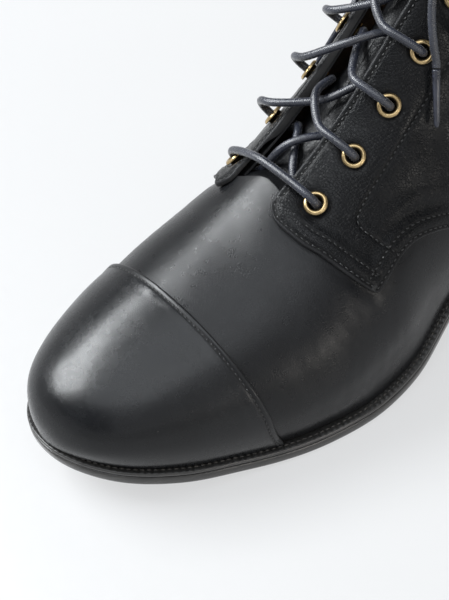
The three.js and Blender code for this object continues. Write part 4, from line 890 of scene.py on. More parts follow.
# the pale wear colours of the quarter and the cut edges also act as a painted highlight along their edges
M_QUARTER = leather("quarter_leather", (.0030, .0032, .0037), (.0050, .0053, .0060), (.20, .32), grain=.95, grain_h=.046, fine_h=.009, wave_h=.018, specks=.2, wear=(.060, .060, .063), spec=.14)
M_TONGUE = leather("tongue_leather", (.0036, .0038, .0044), (.0060, .0063, .0072), (.28, .44), grain=1.0, grain_h=.050, fine_h=.008, wave_h=.02, specks=.3, spec=.20)
M_EDGE = leather("cut_edge", (.0085, .0084, .0086), (.0150, .0146, .0148), (.24, .38), grain=.4, grain_h=.014, fine_h=.010, specks=.0, wear=(.035, .034, .034), spec=.35)
M_FLESH = leather("flesh_side", (.020, .018, .017), (.030, .027, .025), (.75, .92), grain=.35, grain_h=.03, fine_h=.02, specks=.0, spec=.25)
M_LINING = leather("lining_leather", (.43, .29, .165), (.50, .35, .21), (.48, .66), grain=.55, grain_h=.012, fine_h=.004, wave_h=.03, specks=.0, wear=(.30, .20, .12), spec=.4, front=.55)
M_SOCK = leather("sock_leather", (.36, .235, .13), (.45, .31, .18), (.45, .62), grain=.5, grain_h=.014, fine_h=.004, wave_h=.04, specks=.0, wear=(.25, .16, .09), spec=.4)

def canvas(name, col, dark):
    q = Mat(name)
    u = q.xyz(q.uv())
    a = q.math("SINE", q.math("MULTIPLY", u[0], 2*math.pi*1000/.62))
    b = q.math("SINE", q.math("MULTIPLY", u[1], 2*math.pi*1000/.62))
    h = q.math("MULTIPLY", q.math("ADD", q.math("ABSOLUTE", a), q.math("ABSOLUTE", b)), .05)
    q.bump(q.sum(h, q.math("MULTIPLY", q.noise(.3, 2.0), .05)))
    q.to("Base Color", q.mix(q.math("MULTIPLY", q.math("ABSOLUTE", q.math("MULTIPLY", a, b)), q.remap(q.noise(5.0), .3, .7, .5, 1.0)), dark, col))
    q.to("Roughness", q.remap(q.noise(1.2), .3, .7, .82, .95))
    return q.m
M_CANVAS = canvas("lining_canvas", (.50, .46, .37), (.30, .27, .21))

def thread(name, col, hi):
    q = Mat(name)
    n = q.noise(.22, 2.0, .6, dist=.6)
    q.bump(q.math("MULTIPLY", n, .05))
    q.to("Base Color", q.mix(q.remap(q.noise(1.3), .35, .7), col, hi))
    q.to("Roughness", q.remap(n, .3, .7, .26, .40))
    q.b.inputs["Specular IOR Level"].default_value = .55
    return q.m
M_THREAD = thread("upper_thread", (.0028, .0029, .0034), (.0060, .0062, .0070))
M_WELT_THREAD = thread("welt_thread", (.018, .017, .016), (.05, .045, .038))

def lace_mat(name, a, b, rough):
    q = Mat(name)
    u = q.xyz(q.uv())
    # fine yarn lines across each braided strand
    p = q.math("ADD", q.math("MULTIPLY", u[0], 2*math.pi*1000/.62), q.math("MULTIPLY", u[1], 2*math.pi*12))
    m_ = q.math("SUBTRACT", q.math("MULTIPLY", u[0], 2*math.pi*1000/.62), q.math("MULTIPLY", u[1], 2*math.pi*12))
    yarn = q.math("ADD", q.math("SINE", p), q.math("SINE", m_))
    q.bump(q.sum(q.math("MULTIPLY", yarn, .016), q.math("MULTIPLY", q.noise(.3, 3.0, .6), .010)))
    c = q.mix(q.remap(q.noise(9.0, 2.0), .35, .65), a, b)
    c = q.mix(q.math("MULTIPLY", q.remap(q.noise(.5, 2.0), .58, .8), .35), c, tuple(x*2.2 + .004 for x in b))
    q.to("Base Color", c)
    q.to("Roughness", q.remap(q.noise(1.1, 2.0), .3, .7, rough[0], rough[1]))
    q.set(Sheen_Weight=.15, Sheen_Roughness=.35)
    q.b.inputs["Specular IOR Level"].default_value = .75
    return q.m
M_LACE = lace_mat("waxed_lace", (.0068, .0084, .0145), (.0125, .0152, .0255), (.22, .36))

def aglet_mat():
    q = Mat("aglet_tip")
    q.to("Base Color", q.mix(q.remap(q.noise(3.0), .35, .65), (.012, .013, .019), (.022, .024, .034)))
    q.bump(q.math("MULTIPLY", q.noise(1.6, 2.0), .03))
    q.to("Roughness", q.remap(q.noise(.8, 2.0), .3, .7, .14, .26))
    return q.m
M_AGLET = aglet_mat()

def brass():
    q = Mat("antiqued_brass")
    n, f = q.noise(1.8, 3.0, .6), q.noise(.25, 2.0, .6)
    c = q.mix(q.remap(n, .3, .72), (.52, .39, .205), (.32, .235, .12))
    c = q.mix(q.remap(q.noise(.6, 3.0, .7), .56, .76, 0, .75), c, (.085, .064, .038))
    q.to("Base Color", c)
    q.set(Metallic=1.0)
    q.to("Roughness", q.remap(f, .3, .7, .22, .40))
    q.bump(q.sum(q.math("MULTIPLY", n, .05), q.math("MULTIPLY", f, .008)))
    return q.m
M_BRASS = brass()

def sole_mat(name, base, tone, rough, streak):
    q = Mat(name)
    x = q.xyz()
    flat = q.vec(q.math("MULTIPLY", x[0], .12), q.math("MULTIPLY", x[1], .12), x[2])
    lay = q.noise(.9, 3.0, .6, flat) if streak else q.noise(.9, 3.0, .6)
    f = q.noise(.35, 3.0, .6)
    q.bump(q.sum(q.math("MULTIPLY", lay, .09 if streak else .04), q.math("MULTIPLY", f, .02)))
    c = q.mix(q.remap(lay, .35, .7), base, tone)
    c = q.mix(q.remap(q.noise(11.0, 3.0), .55, .75, 0, .4), c, tuple(v*1.9 for v in tone))
    q.to("Base Color", c)
    q.to("Roughness", q.remap(q.math("ADD", q.math("MULTIPLY", lay, .5), q.math("MULTIPLY", q.noise(6.0), .5)), .32, .68, rough[0], rough[1]))
    return q.m
M_SOLE = sole_mat("burnished_sole_leather", (.022, .0215, .021), (.037, .035, .033), (.15, .28), True)
M_LIFT = sole_mat("burnished_heel_leather", (.012, .0115, .011), (.026, .022, .019), (.22, .40), True)
M_WELT = sole_mat("welt_leather", (.014, .0138, .0135), (.027, .026, .025), (.33, .50), False)
M_BOTTOM = sole_mat("sole_underside", (.036, .031, .027), (.070, .057, .046), (.40, .62), False)

def rubber():
    q = Mat("heel_rubber")
    x = q.xyz()
    a = q.math("SINE", q.math("MULTIPLY", q.math("ADD", x[0], x[1]), 2*math.pi*1000/3.2))
    b = q.math("SINE", q.math("MULTIPLY", q.math("SUBTRACT", x[0], x[1]), 2*math.pi*1000/3.2))
    tread = q.remap(q.math("MULTIPLY", a, b), -.15, .15, 0, 1, True)
    under = q.remap(x[2], .0004, .0012, 1.0, 0.0)
    q.bump(q.sum(q.math("MULTIPLY", q.math("MULTIPLY", tread, under), .25), q.math("MULTIPLY", q.noise(.4, 3.0), .03)))
    q.to("Base Color", q.mix(q.remap(q.noise(4.0, 3.0), .35, .7), (.014, .014, .0145), (.032, .031, .030)))
    q.to("Roughness", q.remap(q.noise(1.5, 3.0), .3, .7, .55, .75))
    return q.m
M_RUBBER = rubber()

def board(name, a, b, mm, h):
    q = Mat(name)
    n = q.noise(mm, 4.0, .65)
    q.bump(q.sum(q.math("MULTIPLY", n, h), q.math("MULTIPLY", q.voronoi(mm*2.2), h*.6)))
    q.to("Base Color", q.mix(q.remap(n, .3, .7), a, b))
    q.to("Roughness", q.remap(n, .3, .7, .7, .9))
    return q.m
M_INSOLE = board("insole_board", (.40, .28, .17), (.55, .41, .27), .6, .05)
M_CORK = board("ground_cork", (.20, .12, .06), (.52, .36, .20), 1.4, .18)

def steel():
    q = Mat("spring_steel")
    x = q.xyz()
    g = q.noise(.25, 2.0, .5, q.vec(x[0], q.math("MULTIPLY", x[1], .05), x[2]))
    q.to("Base Color", q.mix(g, (.42, .44, .47), (.56, .58, .61)))
    q.set(Metallic=1.0)
    q.to("Roughness", q.remap(g, .3, .7, .25, .42))
    q.bump(q.math("MULTIPLY", g, .02))
    return q.m
M_STEEL = steel()

# ------------------------------------------------------------------ cords: bow loops and free ends
SLOT = {}
RL = {k: np.array(v, float) for k, v in ROUTE.items()}
def cord_piece(name, key, node):
    o, P, L = lace(name, RL[key], M_LACE, ends=(1.0, 1.0))
    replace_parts(o, node)
    return o

def aglet(name, key, node):
    a, b = RL[key]
    ax = (b - a)/np.linalg.norm(b - a)
    Ln = np.linalg.norm(b - a)
    u = np.cross(ax, [0, 0, 1.0]); u /= np.linalg.norm(u)
    v = np.cross(ax, u)
    prof = [(0, 0), (1.02, 0), (1.28, .12), (1.36, .45), (1.36, 1.0), (1.25, 1.25), (1.25, 1.75), (1.34, 2.0), (1.34, 2.6), (1.22, 2.85), (1.22, 3.4), (1.20, 6), (1.10, Ln*.5), (1.00, Ln - 4), (.92, Ln - 2.2), (.80, Ln - .9), (.58, Ln - .2), (.30, Ln), (0, Ln + .02)]
    n = 32
    V, F = [], []
    for r, z in prof[1:-1]:
        for k in range(n):
            t = 2*math.pi*k/n
            # a shallow lap seam where the wrap closes
            rr = r*(1 - .035*math.exp(-((k - 4)/1.1)**2))
            V.append(a + ax*z + (u*math.cos(t) + v*math.sin(t))*rr)
    m_ = len(prof) - 2
    for i in range(m_-1):
        for k in range(n):
            F.append([i*n + k, i*n + (k+1) % n, (i+1)*n + (k+1) % n, (i+1)*n + k])
    V += [a + ax*prof[0][1], a + ax*prof[-1][1]]
    for k in range(n):
        F.append([m_*n, (k+1) % n, k])
        F.append([m_*n+1, (m_-1)*n + k, (m_-1)*n + (k+1) % n])
    o = mesh(name, np.array(V)/1000, F, [M_AGLET])
    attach(o, "boot")
    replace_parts(o, node)
    return o
ag_l, ag_m = aglet("lace_tip_lateral", "aglet_lateral", "aglet_lateral"), aglet("lace_tip_medial", "aglet_medial", "aglet_medial")
cord_piece("bow_loop_lateral", "loop_lateral", "lace_loop_lateral")
cord_piece("bow_loop_medial", "loop_medial", "lace_loop_medial")
cord_piece("free_end_lateral", "end_lateral", "lace_end_lateral")
cord_piece("free_end_medial", "end_medial", "lace_end_medial")

# one lace: up one side from the knot, over the bottom bar and up the other side to the knot
o, P, L = lace("lacing", np.concatenate([RL["A"][::-1], RL["B"]]), M_LACE, r=1.38, smooth=48)
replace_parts(o, "lace_strand_a", "lace_strand_b")

# the bow's knot: a diagonal wrap over the roots of the loops, ends and runs
def knot():
    C, Nn = np.array(KNOT_C), np.array(KNOT_N)
    kx = np.array([1.0, 0, 0])
    kz = Nn - kx*(Nn @ kx); kz /= np.linalg.norm(kz)
    ky = np.cross(kz, kx)
    kp = lambda x, y, z: C + kx*x + ky*y + kz*z
    parts = []
    for key, i, j in (("loop_lateral", 0, 1), ("loop_lateral", -1, -2), ("loop_medial", 0, 1), ("loop_medial", -1, -2), ("end_lateral", 0, 1), ("end_medial", 0, 1), ("A", -1, -2), ("B", -1, -2)):
        p, q = RL[key][i], RL[key][j]
        d = (p - q)/np.linalg.norm(p - q)
        l = p - C
        x, y, z = l @ kx, l @ ky, l @ kz
        mid = kp(x*.52, y*.42, z*.30 + (.5 if "loop" in key else -.5))
        inn = kp(-x*.12, y*.12, z*.05)
        lace("", np.array([p - d*.3, p + d*.8, mid, inn]), None, step=.4, ends=(1.0, 1.0), k=20, add_to=parts)
    a = np.linspace(-.15, 1.72*math.pi + 1.2, 26)
    wrap = np.array([kp(-1.25 + 2.3*(t/(1.72*math.pi + 1.2)) + .25*math.sin(t), 2.95*math.cos(t + .5), 2.75*math.sin(t + .5) + .15) for t in a])
    lace("", wrap, None, step=.35, ends=(1.0, 1.0), k=12, add_to=parts)
    V, F, UV = np.concatenate([p[0] for p in parts]), [f for p in parts for f in p[1]], np.concatenate([p[2] for p in parts])
    o = mesh("bow_knot", V/1000, F, [M_LACE], uv=UV)
    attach(o, "boot")
    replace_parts(o, "lace_knot")
knot()

# ------------------------------------------------------------------ style lines (station, tau)
FRONT = [(7.16,.117),(7.17,.173),(7.3,.237),(7.42,.303),(7.56,.367),(7.67,.404)]
SEAM = [(7.96,.41),(8.44,.413),(8.94,.44),(9.42,.507),(9.7,.58),(9.92,.68),(10.05,.8),(10.1,.9),(10.12,1)]
UNDER_FRONT = [(7.74,0),(7.71,.035),(7.62,.08),(7.52,.14),(7.52,.22),(7.6,.28),(7.85,.335)]
UNDER_SEAM = [(8.42,.368),(8.9,.393),(9.4,.44),(9.75,.5),(10.02,.58),(10.24,.68),(10.38,.8),(10.44,.9),(10.46,1)]
CAPO, VAMPO, QUO = (.3, 1.6), (-1.4, 0.0), (.3, 1.8)
wc = lambda t: CAP_W + CAP_SWEEP*t*t
def cap_line(off, n=24):
    return [(wc(t) + off, t) for t in np.linspace(0, 1, n+1)]
def facing_line(side, w0, w1, extra=0.0, n=28):
    return [(w, facing(side, w, extra)) for w in np.linspace(w0, w1, n+1)]
FACE_W = np.linspace(6.8, 16.9, 60)
FACE_T = {s: np.array([facing(s, w) for w in FACE_W]) for s in (1, -1)}
def face_mm(s, w, t):
    """Distance back from the facing edge along the section, roughly, mm."""
    f = np.where(s > 0, np.interp(w, FACE_W, FACE_T[1]), np.interp(w, FACE_W, FACE_T[-1]))
    return (t - f)*sec_len(w)
EYL = {s: EYELET[s] for s in (1, -1)}
FRONT_S, SEAM_S = smooth_row(FRONT, 8), smooth_row(SEAM, 8)

# ---- toe cap
cap_top = [(w, t) for w, t in cap_line(0)]
cap_poly = [(w, -t) for w, t in reversed(cap_top)] + [(w, t) for w, t in cap_top[1:]] + [(0.02, 1.0)] + [(0.02, t) for t in np.linspace(.93, -.93, 31)] + [(0.02, -1.0)]
cap_stitch = [(s, [(w, t) for w, t in cap_line(-.105) if .0 <= t <= .985]) for s in (1, -1)]
cap_rd = row_dist(cap_stitch)
cap_edge = row_dist([(s, cap_line(0)) for s in (1, -1)])
def cap_relief(s, w, t, P, fe):
    return groove(cap_rd(P), .20, .48) + .03*wob(P, 38, 3) - .10*np.exp(-((cap_edge(P) - 3.9)/1.2)**2)
def signed(rows):
    return [[(w, s*t) for w, t in r] for s, r in rows]
o = shell("toe_cap_leather", cap_poly, CAPO[0], CAPO[1], [M_CAP, M_EDGE, M_FLESH], rows=signed(cap_stitch), relief=cap_relief, edge_r=.5)
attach(o, "boot"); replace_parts(o, "toe_cap", "toe_puff")
stitches("toe_cap_stitching", [(s, r, CAPO[1] - .13) for s, r in cap_stitch], M_THREAD, pitch=2.0, length=1.4, r=.26, top=.08)

# ---- vamp
half = [(w, t) for w, t in cap_line(-.37)]
under = smooth_row(UNDER_FRONT + UNDER_SEAM, 6)
vamp_poly = [(w, -t) for w, t in reversed(half)] + [(w, t) for w, t in half[1:]] + [(w, t) for w, t in reversed(under)] + [(w, -t) for w, t in under[1:]]
front_edge = row_dist([(s, FRONT_S + SEAM_S) for s in (1, -1)])
def vamp_relief(s, w, t, P, fe):
    flex = ss(5.2, 6.2, w)*(1 - ss(7.6, 8.4, w))
    fold = flex*ss(.22, .5, t)*(.045*wob(P*np.array([.35, 1.0, .5]), 5.2, 11) + .022*wob(P*np.array([.5, 1.2, .8]), 2.8, 12))
    # the quarter's pull leaves a shallow dip in front of its corner, and the vamp swells over the joints
    dip = -.55*np.exp(-(front_edge(P)/2.6)**2)*ss(.03, .12, t)
    return fold*(1 - .6*ss(.75, 1, t)) + dip + .07*wob(P, 30, 8)
o = shell("vamp_leather_piece", vamp_poly, VAMPO[0], VAMPO[1], [M_VAMP, M_EDGE, M_FLESH], relief=vamp_relief, h=1.5)
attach(o, "boot"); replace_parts(o, "vamp")

# ---- quarters
stay_lat = [(8.42,.407),(8.39,.39),(8.36,.373),(8.3,.345),(8.26,.315),(8.22,.288),(8.24,.27),(8.34,.262),(8.5,.26),(8.8,.26),(9.3,.259),(9.8,.258),(10.3,.256),(10.92,.252),(11.6,.25),(12.4,.25),(13.2,.252),(14.0,.256),(14.8,.26),(15.42,.262)]
def quarter(side, nm):
    f0 = facing(side, 7.44)
    front = [(7.33, f0 + .004), (7.22, f0 + .020), (7.14, f0 + .047)] + [p for p in FRONT if p[1] > f0 + .075]
    fl = facing_line(side, W_TOP, 7.44)
    body = smooth_row([fl[-1]] + front + SEAM, 8)
    poly = fl[:-1] + body + [(w, 1.0) for w in np.linspace(10.3, W_HEEL - .1, 30)] + [(W_HEEL, END)] + [(w, END) for w in np.linspace(W_HEEL + .1, W_TOP, 24)]
    edge = [p for p in body if p[1] < .999]
    ed = row_dist([(side, edge)])
    # stitch rows: one just inside the cut edge, the second over the vamp's hidden edge, one along the facing, the eyelet stay and the collar
    r1 = [(w, t) for w, t in shift_row(side, edge, 1.5 if side > 0 else -1.5)]
    t1 = S(float(side), np.array([p[0] for p in r1]), np.array([p[1] for p in r1]))
    if inside(np.stack(to_chart(*np.array(poly).T), 1), np.stack(to_chart(*np.array(r1).T), 1)).mean() < .5:
        r1 = shift_row(side, edge, -1.5 if side > 0 else 1.5)
        sg = -1 if side > 0 else 1
    else:
        sg = 1 if side > 0 else -1
    r1 = [p for p in r1 if p[1] < .985 and p[1] > f0 + .012]
    r2 = [p for p in shift_row(side, edge, sg*5.6) if p[1] < .985 and p[1] > f0 + .10]
    if side > 0:
        stay = [p for p in smooth_row(stay_lat, 4)]
    else:
        stay = []
        for w, t in stay_lat:
            stay.append((w, t + (facing(-1, w) - facing(1, w)) if w > 8.24 else t + .03))
        stay[0] = (8.42, .407)
        stay = smooth_row(stay, 4)
    stay = [p for p in stay if p[0] < 15.42]
    fac = [(w, facing(side, w, 2.0)) for w in np.linspace(7.62, 15.42, 40)]
    col = [(15.42, t) for t in np.linspace(facing(side, 15.42, 2.2), .985, 60)]
    rows = [r1, r2, stay, fac, col]
    rd = [row_dist([(side, r)]) for r in rows]
    ew = np.array([S(float(side), e[3], e[4]) for e in EYL[side]])
    def relief(s, w, t, P, fe):
        d = ed(P)
        band = -.85*ss(5.9, 8.4, d)
        roll = .20*np.exp(-((d - 3.6)/1.7)**2) - .12*np.exp(-((d - 8.9)/1.3)**2)
        fold = .55*np.exp(-((d - 12.2 - 1.2*np.sin(w*2.1))/2.0)**2)*ss(8.3, 9.0, w)*(1 - ss(.55, .8, t))
        g = sum(groove(f(P), .24, .50) for f in rd)
        fm = face_mm(s, w, t)
        stayr = .18*(1 - ss(17.0, 18.8, fm))
        ankle = ss(9.0, 10.4, w)*(1 - ss(13.2, 14.4, w))*ss(.24, .42, t)
        cre = ankle*(.25*wob(P*np.array([.6, .7, 1.0]), 17, 21 + int(side)) + .16*wob(P*np.array([.6, .8, 1.2]), 7.5, 25))
        soft = .16*wob(P, 24, 31)*ss(3, 10, d)
        ey = np.min(np.linalg.norm(P[:, None] - ew[None], axis=2), axis=1)
        dimple = -.22*np.exp(-(np.maximum(ey - 3.6, 0)/1.3)**2) + .10*np.exp(-((ey - 6.6)/1.6)**2)
        return band + roll + fold + g + stayr + cre + soft + dimple
    def d_in(s, w, t):
        fm = face_mm(s, w, t)
        a = 1 - ss(15, 19, fm)
        b = ss(15.0, 15.3, w)
        k = np.clip(a*ss(8.25, 8.7, w) + b, 0, 1)
        back_ = .3 - .95*ss(9.5, 10.8, w)*(1 - np.clip(a, 0, 1))*(1 - b)
        return back_*(1 - k) - 1.72*k
    holes = [(side, e[3], e[4], 3.0) for e in EYL[side]]
    o = shell(f"quarter_{nm}_leather", poly, d_in, QUO[1], [M_QUARTER, M_EDGE, M_FLESH], side=side, rows=rows, relief=relief, holes=holes, h=1.6, edge_r=.72)
    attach(o, "boot"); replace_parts(o, f"quarter_{nm}", f"interlining_{nm}")
    off1 = lambda w, t: QUO[1] - .12 + 0*w
    def off_stay(w, t):
        d = ed(S(np.full(len(w), float(side)), w, t))
        fm = face_mm(np.full(len(w), float(side)), w, t)
        return QUO[1] - .12 - .85*ss(5.9, 8.4, d) + .18*(1 - ss(17.0, 18.8, fm))
    off_face = lambda w, t: QUO[1] - .12 - .85*ss(5.9, 8.4, ed(S(np.full(len(w), float(side)), w, t))) + .18
    off_col = lambda w, t: QUO[1] - .12 - .85 + .18*(1 - ss(17.0, 18.8, face_mm(np.full(len(w), float(side)), w, t)))
    stitches(f"quarter_{nm}_stitching", [(side, r1, off1), (side, r2, off1), (side, stay, off_stay), (side, fac, off_face), (side, col, off_col)], M_THREAD, pitch=2.15, length=1.5, r=.27, top=.09)
    return poly, edge
for side, nm in ((1, "lateral"), (-1, "medial")):
    quarter(side, nm)

def bar_tack(side):
    rows = []
    for k in range(5):
        w = 7.655 + .022*k
        rows.append((side, [(w, .384), (w + .01, .398)], QUO[1] - .06))
    V, F = [], []
    n, nr = 7, 6
    for (sd, r, off) in rows:
        R = np.array(r)
        u = np.linspace(0, 1, n)[:, None]
        Q = R[0] + (R[1] - R[0])*u
        sdv = np.full(n, float(sd))
        P, N = S(sdv, Q[:, 0], Q[:, 1]), normals(sdv, Q[:, 0], Q[:, 1])
        C = lift(P, N, off + .10 - .5*np.abs(2*u[:, 0] - 1)**4)
        T = np.gradient(C, axis=0); T /= np.linalg.norm(T, axis=1, keepdims=True)
        B = np.cross(T, N)
        v0 = len(V)
        for i in range(n):
            for q in range(nr):
                th = 2*math.pi*q/nr
                V.append(C[i] + (B[i]*math.cos(th) + N[i]*math.sin(th))*.23)
        for i in range(n-1):
            for q in range(nr):
                b = (q+1) % nr
                F.append([v0+i*nr+q, v0+i*nr+b, v0+(i+1)*nr+b, v0+(i+1)*nr+q])
        F.append([v0+q for q in range(nr)][::-1]); F.append([v0+(n-1)*nr+q for q in range(nr)])
    o = mesh("bar_tack_lateral" if side > 0 else "bar_tack_medial", to_frame(np.array(V)), F, [M_THREAD])
    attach(o, "boot")
bar_tack(1); bar_tack(-1)

# ---- backstay over the back seam
def back_half(side, width, w0=12.66, w1=W_TOP - .05, n=26):
    out = []
    for w in np.linspace(w0, w1, n):
        t = np.linspace(1, .8, 120)
        P = S(float(side), np.full(120, w), t)
        c = np.concatenate([[0], np.cumsum(np.linalg.norm(np.diff(P, axis=0), axis=1))])
        out.append((w, float(1 - np.interp(width, c, t))))
    return out
bl = back_half(1, 7.0)
bs_poly = [(w, b) for w, b in bl] + [(w, -b) for w, b in reversed(back_half(-1, 7.0))]
bs_rows = [(1, [(w, 1 - b) for w, b in back_half(1, 5.5, 12.74, W_TOP - .2)]), (-1, [(w, 1 - b) for w, b in back_half(-1, 5.5, 12.74, W_TOP - .2)])]
brd = row_dist(bs_rows)
def bs_relief(s, w, t, P, fe):
    return groove(brd(P), .15, .5) + .28*np.exp(-((1 - t)*sec_len(w)/2.2)**2)
o = shell("backstay_strip", bs_poly, .9, 2.45, [M_QUARTER, M_EDGE, M_FLESH], chart="back", relief=bs_relief, rows=[[(w, s*(1 - t)) for w, t in r] for s, r in bs_rows], h=1.5, edge_r=.42)
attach(o, "boot"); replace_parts(o, "backstay")
stitches("backstay_stitching", [(s, r, 2.45 - .13) for s, r in bs_rows], M_THREAD, pitch=2.15, length=1.5, r=.27, top=.09)

# ---- linings
for side, nm in ((1, "lateral"), (-1, "medial")):
    fl = facing_line(side, W_TOP - .03, 7.6, .8)
    poly = fl + [(7.6, t) for t in np.linspace(fl[-1][1] + .05, .95, 14)] + [(7.6, 1.0)] + [(w, 1.0) for w in np.linspace(7.9, W_HEEL - .1, 34)] + [(W_HEEL, END)] + [(w, END) for w in np.linspace(W_HEEL + .1, W_TOP - .03, 24)]
    rows = [[(15.38, t) for t in np.linspace(fl[0][1] + .02, .985, 50)]]
    def lin_relief(s, w, t, P, fe):
        return 0.0*w
    o = shell(f"lining_{nm}_leather", poly, lambda s, w, t: -2.7 + .10*np.sin(w*1.9)*np.sin(t*9) - .12*ss(10.5, 12, w)*ss(.3, .6, t), -1.8, [M_LINING, M_LINING, M_LINING], side=side, h=2.4, edge_r=.25, holes=[(side, e[3], e[4], 3.1) for e in EYL[side]])
    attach(o, "boot"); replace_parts(o, f"lining_{nm}", "heel_counter") if side > 0 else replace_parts(o, f"lining_{nm}")
vl = [(1.0, t) for t in np.linspace(-.985, .985, 40)] + [(7.12, t) for t in np.linspace(.985, -.985, 40)]
o = shell("vamp_canvas_lining", vl, -2.7, -1.8, [M_CANVAS], h=2.8, edge_r=.2)
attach(o, "boot"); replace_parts(o, "vamp_lining")

# ---- rolled binding along the collar
def binding(side, nm):
    tt = np.linspace(facing(side, W_TOP, .3), .9975, 150)
    sd = np.full(150, float(side))
    P, N = S(sd, np.full(150, W_TOP - .02), tt), normals(sd, np.full(150, W_TOP - .02), tt)
    Pb = S(sd, np.full(150, W_TOP - .12), tt)
    Up = P - Pb
    Up -= N*(Up*N).sum(1)[:, None]
    Up /= np.linalg.norm(Up, axis=1, keepdims=True)
    prof = []
    for k in range(17):
        a = math.pi*k/16
        prof.append((-.42 + 2.62*math.cos(a), -.9 + 1.75*math.sin(a)**.8))
    prof = [(2.18, -3.0)] + prof + [(-3.02, -3.0), (-2.72, -3.1), (-2.72, -.95), (1.78, -.95), (1.78, -3.1)]
    n = len(prof)
    V, F = [], []
    puck = .05*wob(P, 5, 41)
    for i in range(150):
        for a, b in prof:
            V.append(P[i] + N[i]*(a + (puck[i] if a > 0 else -puck[i])*.6) + Up[i]*(b + puck[i]*.5))
    for i in range(149):
        for k in range(n):
            l = (k+1) % n
            F.append([i*n+k, i*n+l, (i+1)*n+l, (i+1)*n+k])
    F.append(list(range(n))[::-1]); F.append([149*n + k for k in range(n)])
    uv = [(i*.002, k*.001) for i in range(150) for k in range(n)]
    o = mesh(f"collar_binding_{nm}", to_frame(np.array(V)), F, [M_QUARTER], uv=np.array(uv))
    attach(o, "boot")
binding(1, "lateral"); binding(-1, "medial")

# ---- tongue
def tongue_half(side, n=40):
    kw = [7, 7.6, 8.2, 9, 10, 11.2, 12.5, 14, 15.2, 15.6, 15.9, 16.1, 16.25, 16.35]
    kt = [tau_at(side, w, 23 + 6*float(ss(7.35, 12, w)) - 15*max(0, (w - 15.5)/.85)**2.4) for w in kw]
    f = pchip(kw, kt)
    return [(w, float(f(w))) for w in np.linspace(7, 16.35, n)]
t_prof = pchip([6.9, 7.16, 7.42, 7.66, 7.95, 8.3, 17], [-3.1, -3.0, -2.1, -2.3, -4.8, -7.1, -7.1])
def t_out(s, w, t):
    return t_prof(w)
tl, tm_ = tongue_half(1), tongue_half(-1)
top_arc = [(16.35, t) for t in np.linspace(-tm_[-1][1], tl[-1][1], 16)[1:-1]]
tg_poly = [(w, t) for w, t in tl[::-1]] + [(7.0, t) for t in np.linspace(tl[0][1], -tm_[0][1], 16)[1:-1]] + [(w, -t) for w, t in tm_] + top_arc
te = row_dist([(s, [(w, max(0, t - 4.0/float(sec_len(w)))) for w, t in h_ if w > 8.6]) for s, h_ in ((1, tl), (-1, tm_))])
def tongue_relief(s, w, t, P, fe):
    live = ss(7.9, 8.8, w)
    q = P*np.array([.55, .9, 1.0])
    wr = .11*wob(q, 9.0, 51) + .035*wob(P*np.array([.8, 1, 1]), 4.2, 52, 10)
    pads = .30*np.exp(-((t*sec_len(w) - 9)/5.0)**2)
    # creases pressed in under each lace crossing
    cr = -.14*np.exp(-(((w*1.02) % 1.0 - .5)/.10)**2)*np.exp(-(t*sec_len(w)/10)**2)
    return live*(wr*.85 + pads + cr + groove(te(P), .18, .6)) - .1*(1 - live)
o = shell("tongue_leather_piece", tg_poly, lambda s, w, t: t_out(s, w, t) - 1.2 + .12*wob(S(s, w, t), 9, 55), t_out, [M_TONGUE, M_EDGE, M_FLESH], relief=tongue_relief, h=1.15, edge_r=.4)
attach(o, "tongue"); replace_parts(o, "tongue")

# ------------------------------------------------------------------ eyelets
def eyelet(side, k, e):
    p, ax = np.array(e[0], float), np.array(e[1], float)
    ax /= np.linalg.norm(ax)
    u = np.array(e[2], float); u -= ax*(u @ ax); u /= np.linalg.norm(u)
    v = np.cross(ax, u)
    prof = [(2.32,-3.62),(2.30,-3.3),(2.30,1.9),(2.34,2.3),(2.50,2.68),(2.78,2.93),(3.10,3.00),(3.42,2.94),(3.70,2.76),(3.90,2.48),(3.99,2.18),(4.00,1.95),(3.86,1.86),(3.3,1.80),(2.72,1.78),(2.70,-3.34),(3.1,-3.38),(3.28,-3.5),(3.24,-3.68),(2.9,-3.76),(2.5,-3.74)]
    n, m_ = 48, len(prof)
    rng = np.random.default_rng(100*(side + 2) + k)
    ph = rng.uniform(0, 6.28, 3)
    V, F = [], []
    for r, z in prof:
        for i in range(n):
            t = 2*math.pi*i/n
            rr = r + (.035*math.sin(2*t + ph[0]) + .02*math.sin(5*t + ph[1]) if r > 3.0 else 0)
            zz = z + (.04*math.sin(3*t + ph[2]) if z > 2.2 else 0)
            V.append(p + ax*zz + (u*math.cos(t) + v*math.sin(t))*rr)
    for i in range(m_):
        j = (i+1) % m_
        for q in range(n):
            F.append([i*n + q, i*n + (q+1) % n, j*n + (q+1) % n, j*n + q])
    nm = "lateral" if side > 0 else "medial"
    o = mesh(f"eyelet_ring_{nm}_{k+1}", np.array(V)/1000, F, [M_BRASS])
    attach(o, "boot"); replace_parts(o, f"eyelet_{nm}_{k+1}")
for side in (1, -1):
    for k, e in enumerate(EYELET[side]):
        eyelet(side, k, e)

# ------------------------------------------------------------------ bottom
def even(poly, step):
    """Closed polygon resampled evenly."""
    P = np.vstack([poly, poly[:1]])
    c = np.concatenate([[0], np.cumsum(np.linalg.norm(np.diff(P, axis=0), axis=1))])
    n = int(round(c[-1]/step))
    s = np.arange(n)/n*c[-1]
    return np.stack([np.interp(s, c, P[:, 0]), np.interp(s, c, P[:, 1])], 1), s

def ring_inset(P, d):
    """P moved inwards by d (t, x), for a clockwise or counter-clockwise polygon."""
    a, b = np.roll(P, 3, 0), np.roll(P, -3, 0)
    t = b - a
    t /= np.linalg.norm(t, axis=1, keepdims=True)
    area = (P[:, 0]*np.roll(P[:, 1], -1) - np.roll(P[:, 0], -1)*P[:, 1]).sum()
    sg = 1.0 if area > 0 else -1.0
    return P + np.stack([-t[:, 1], t[:, 0]], 1)*sg*d

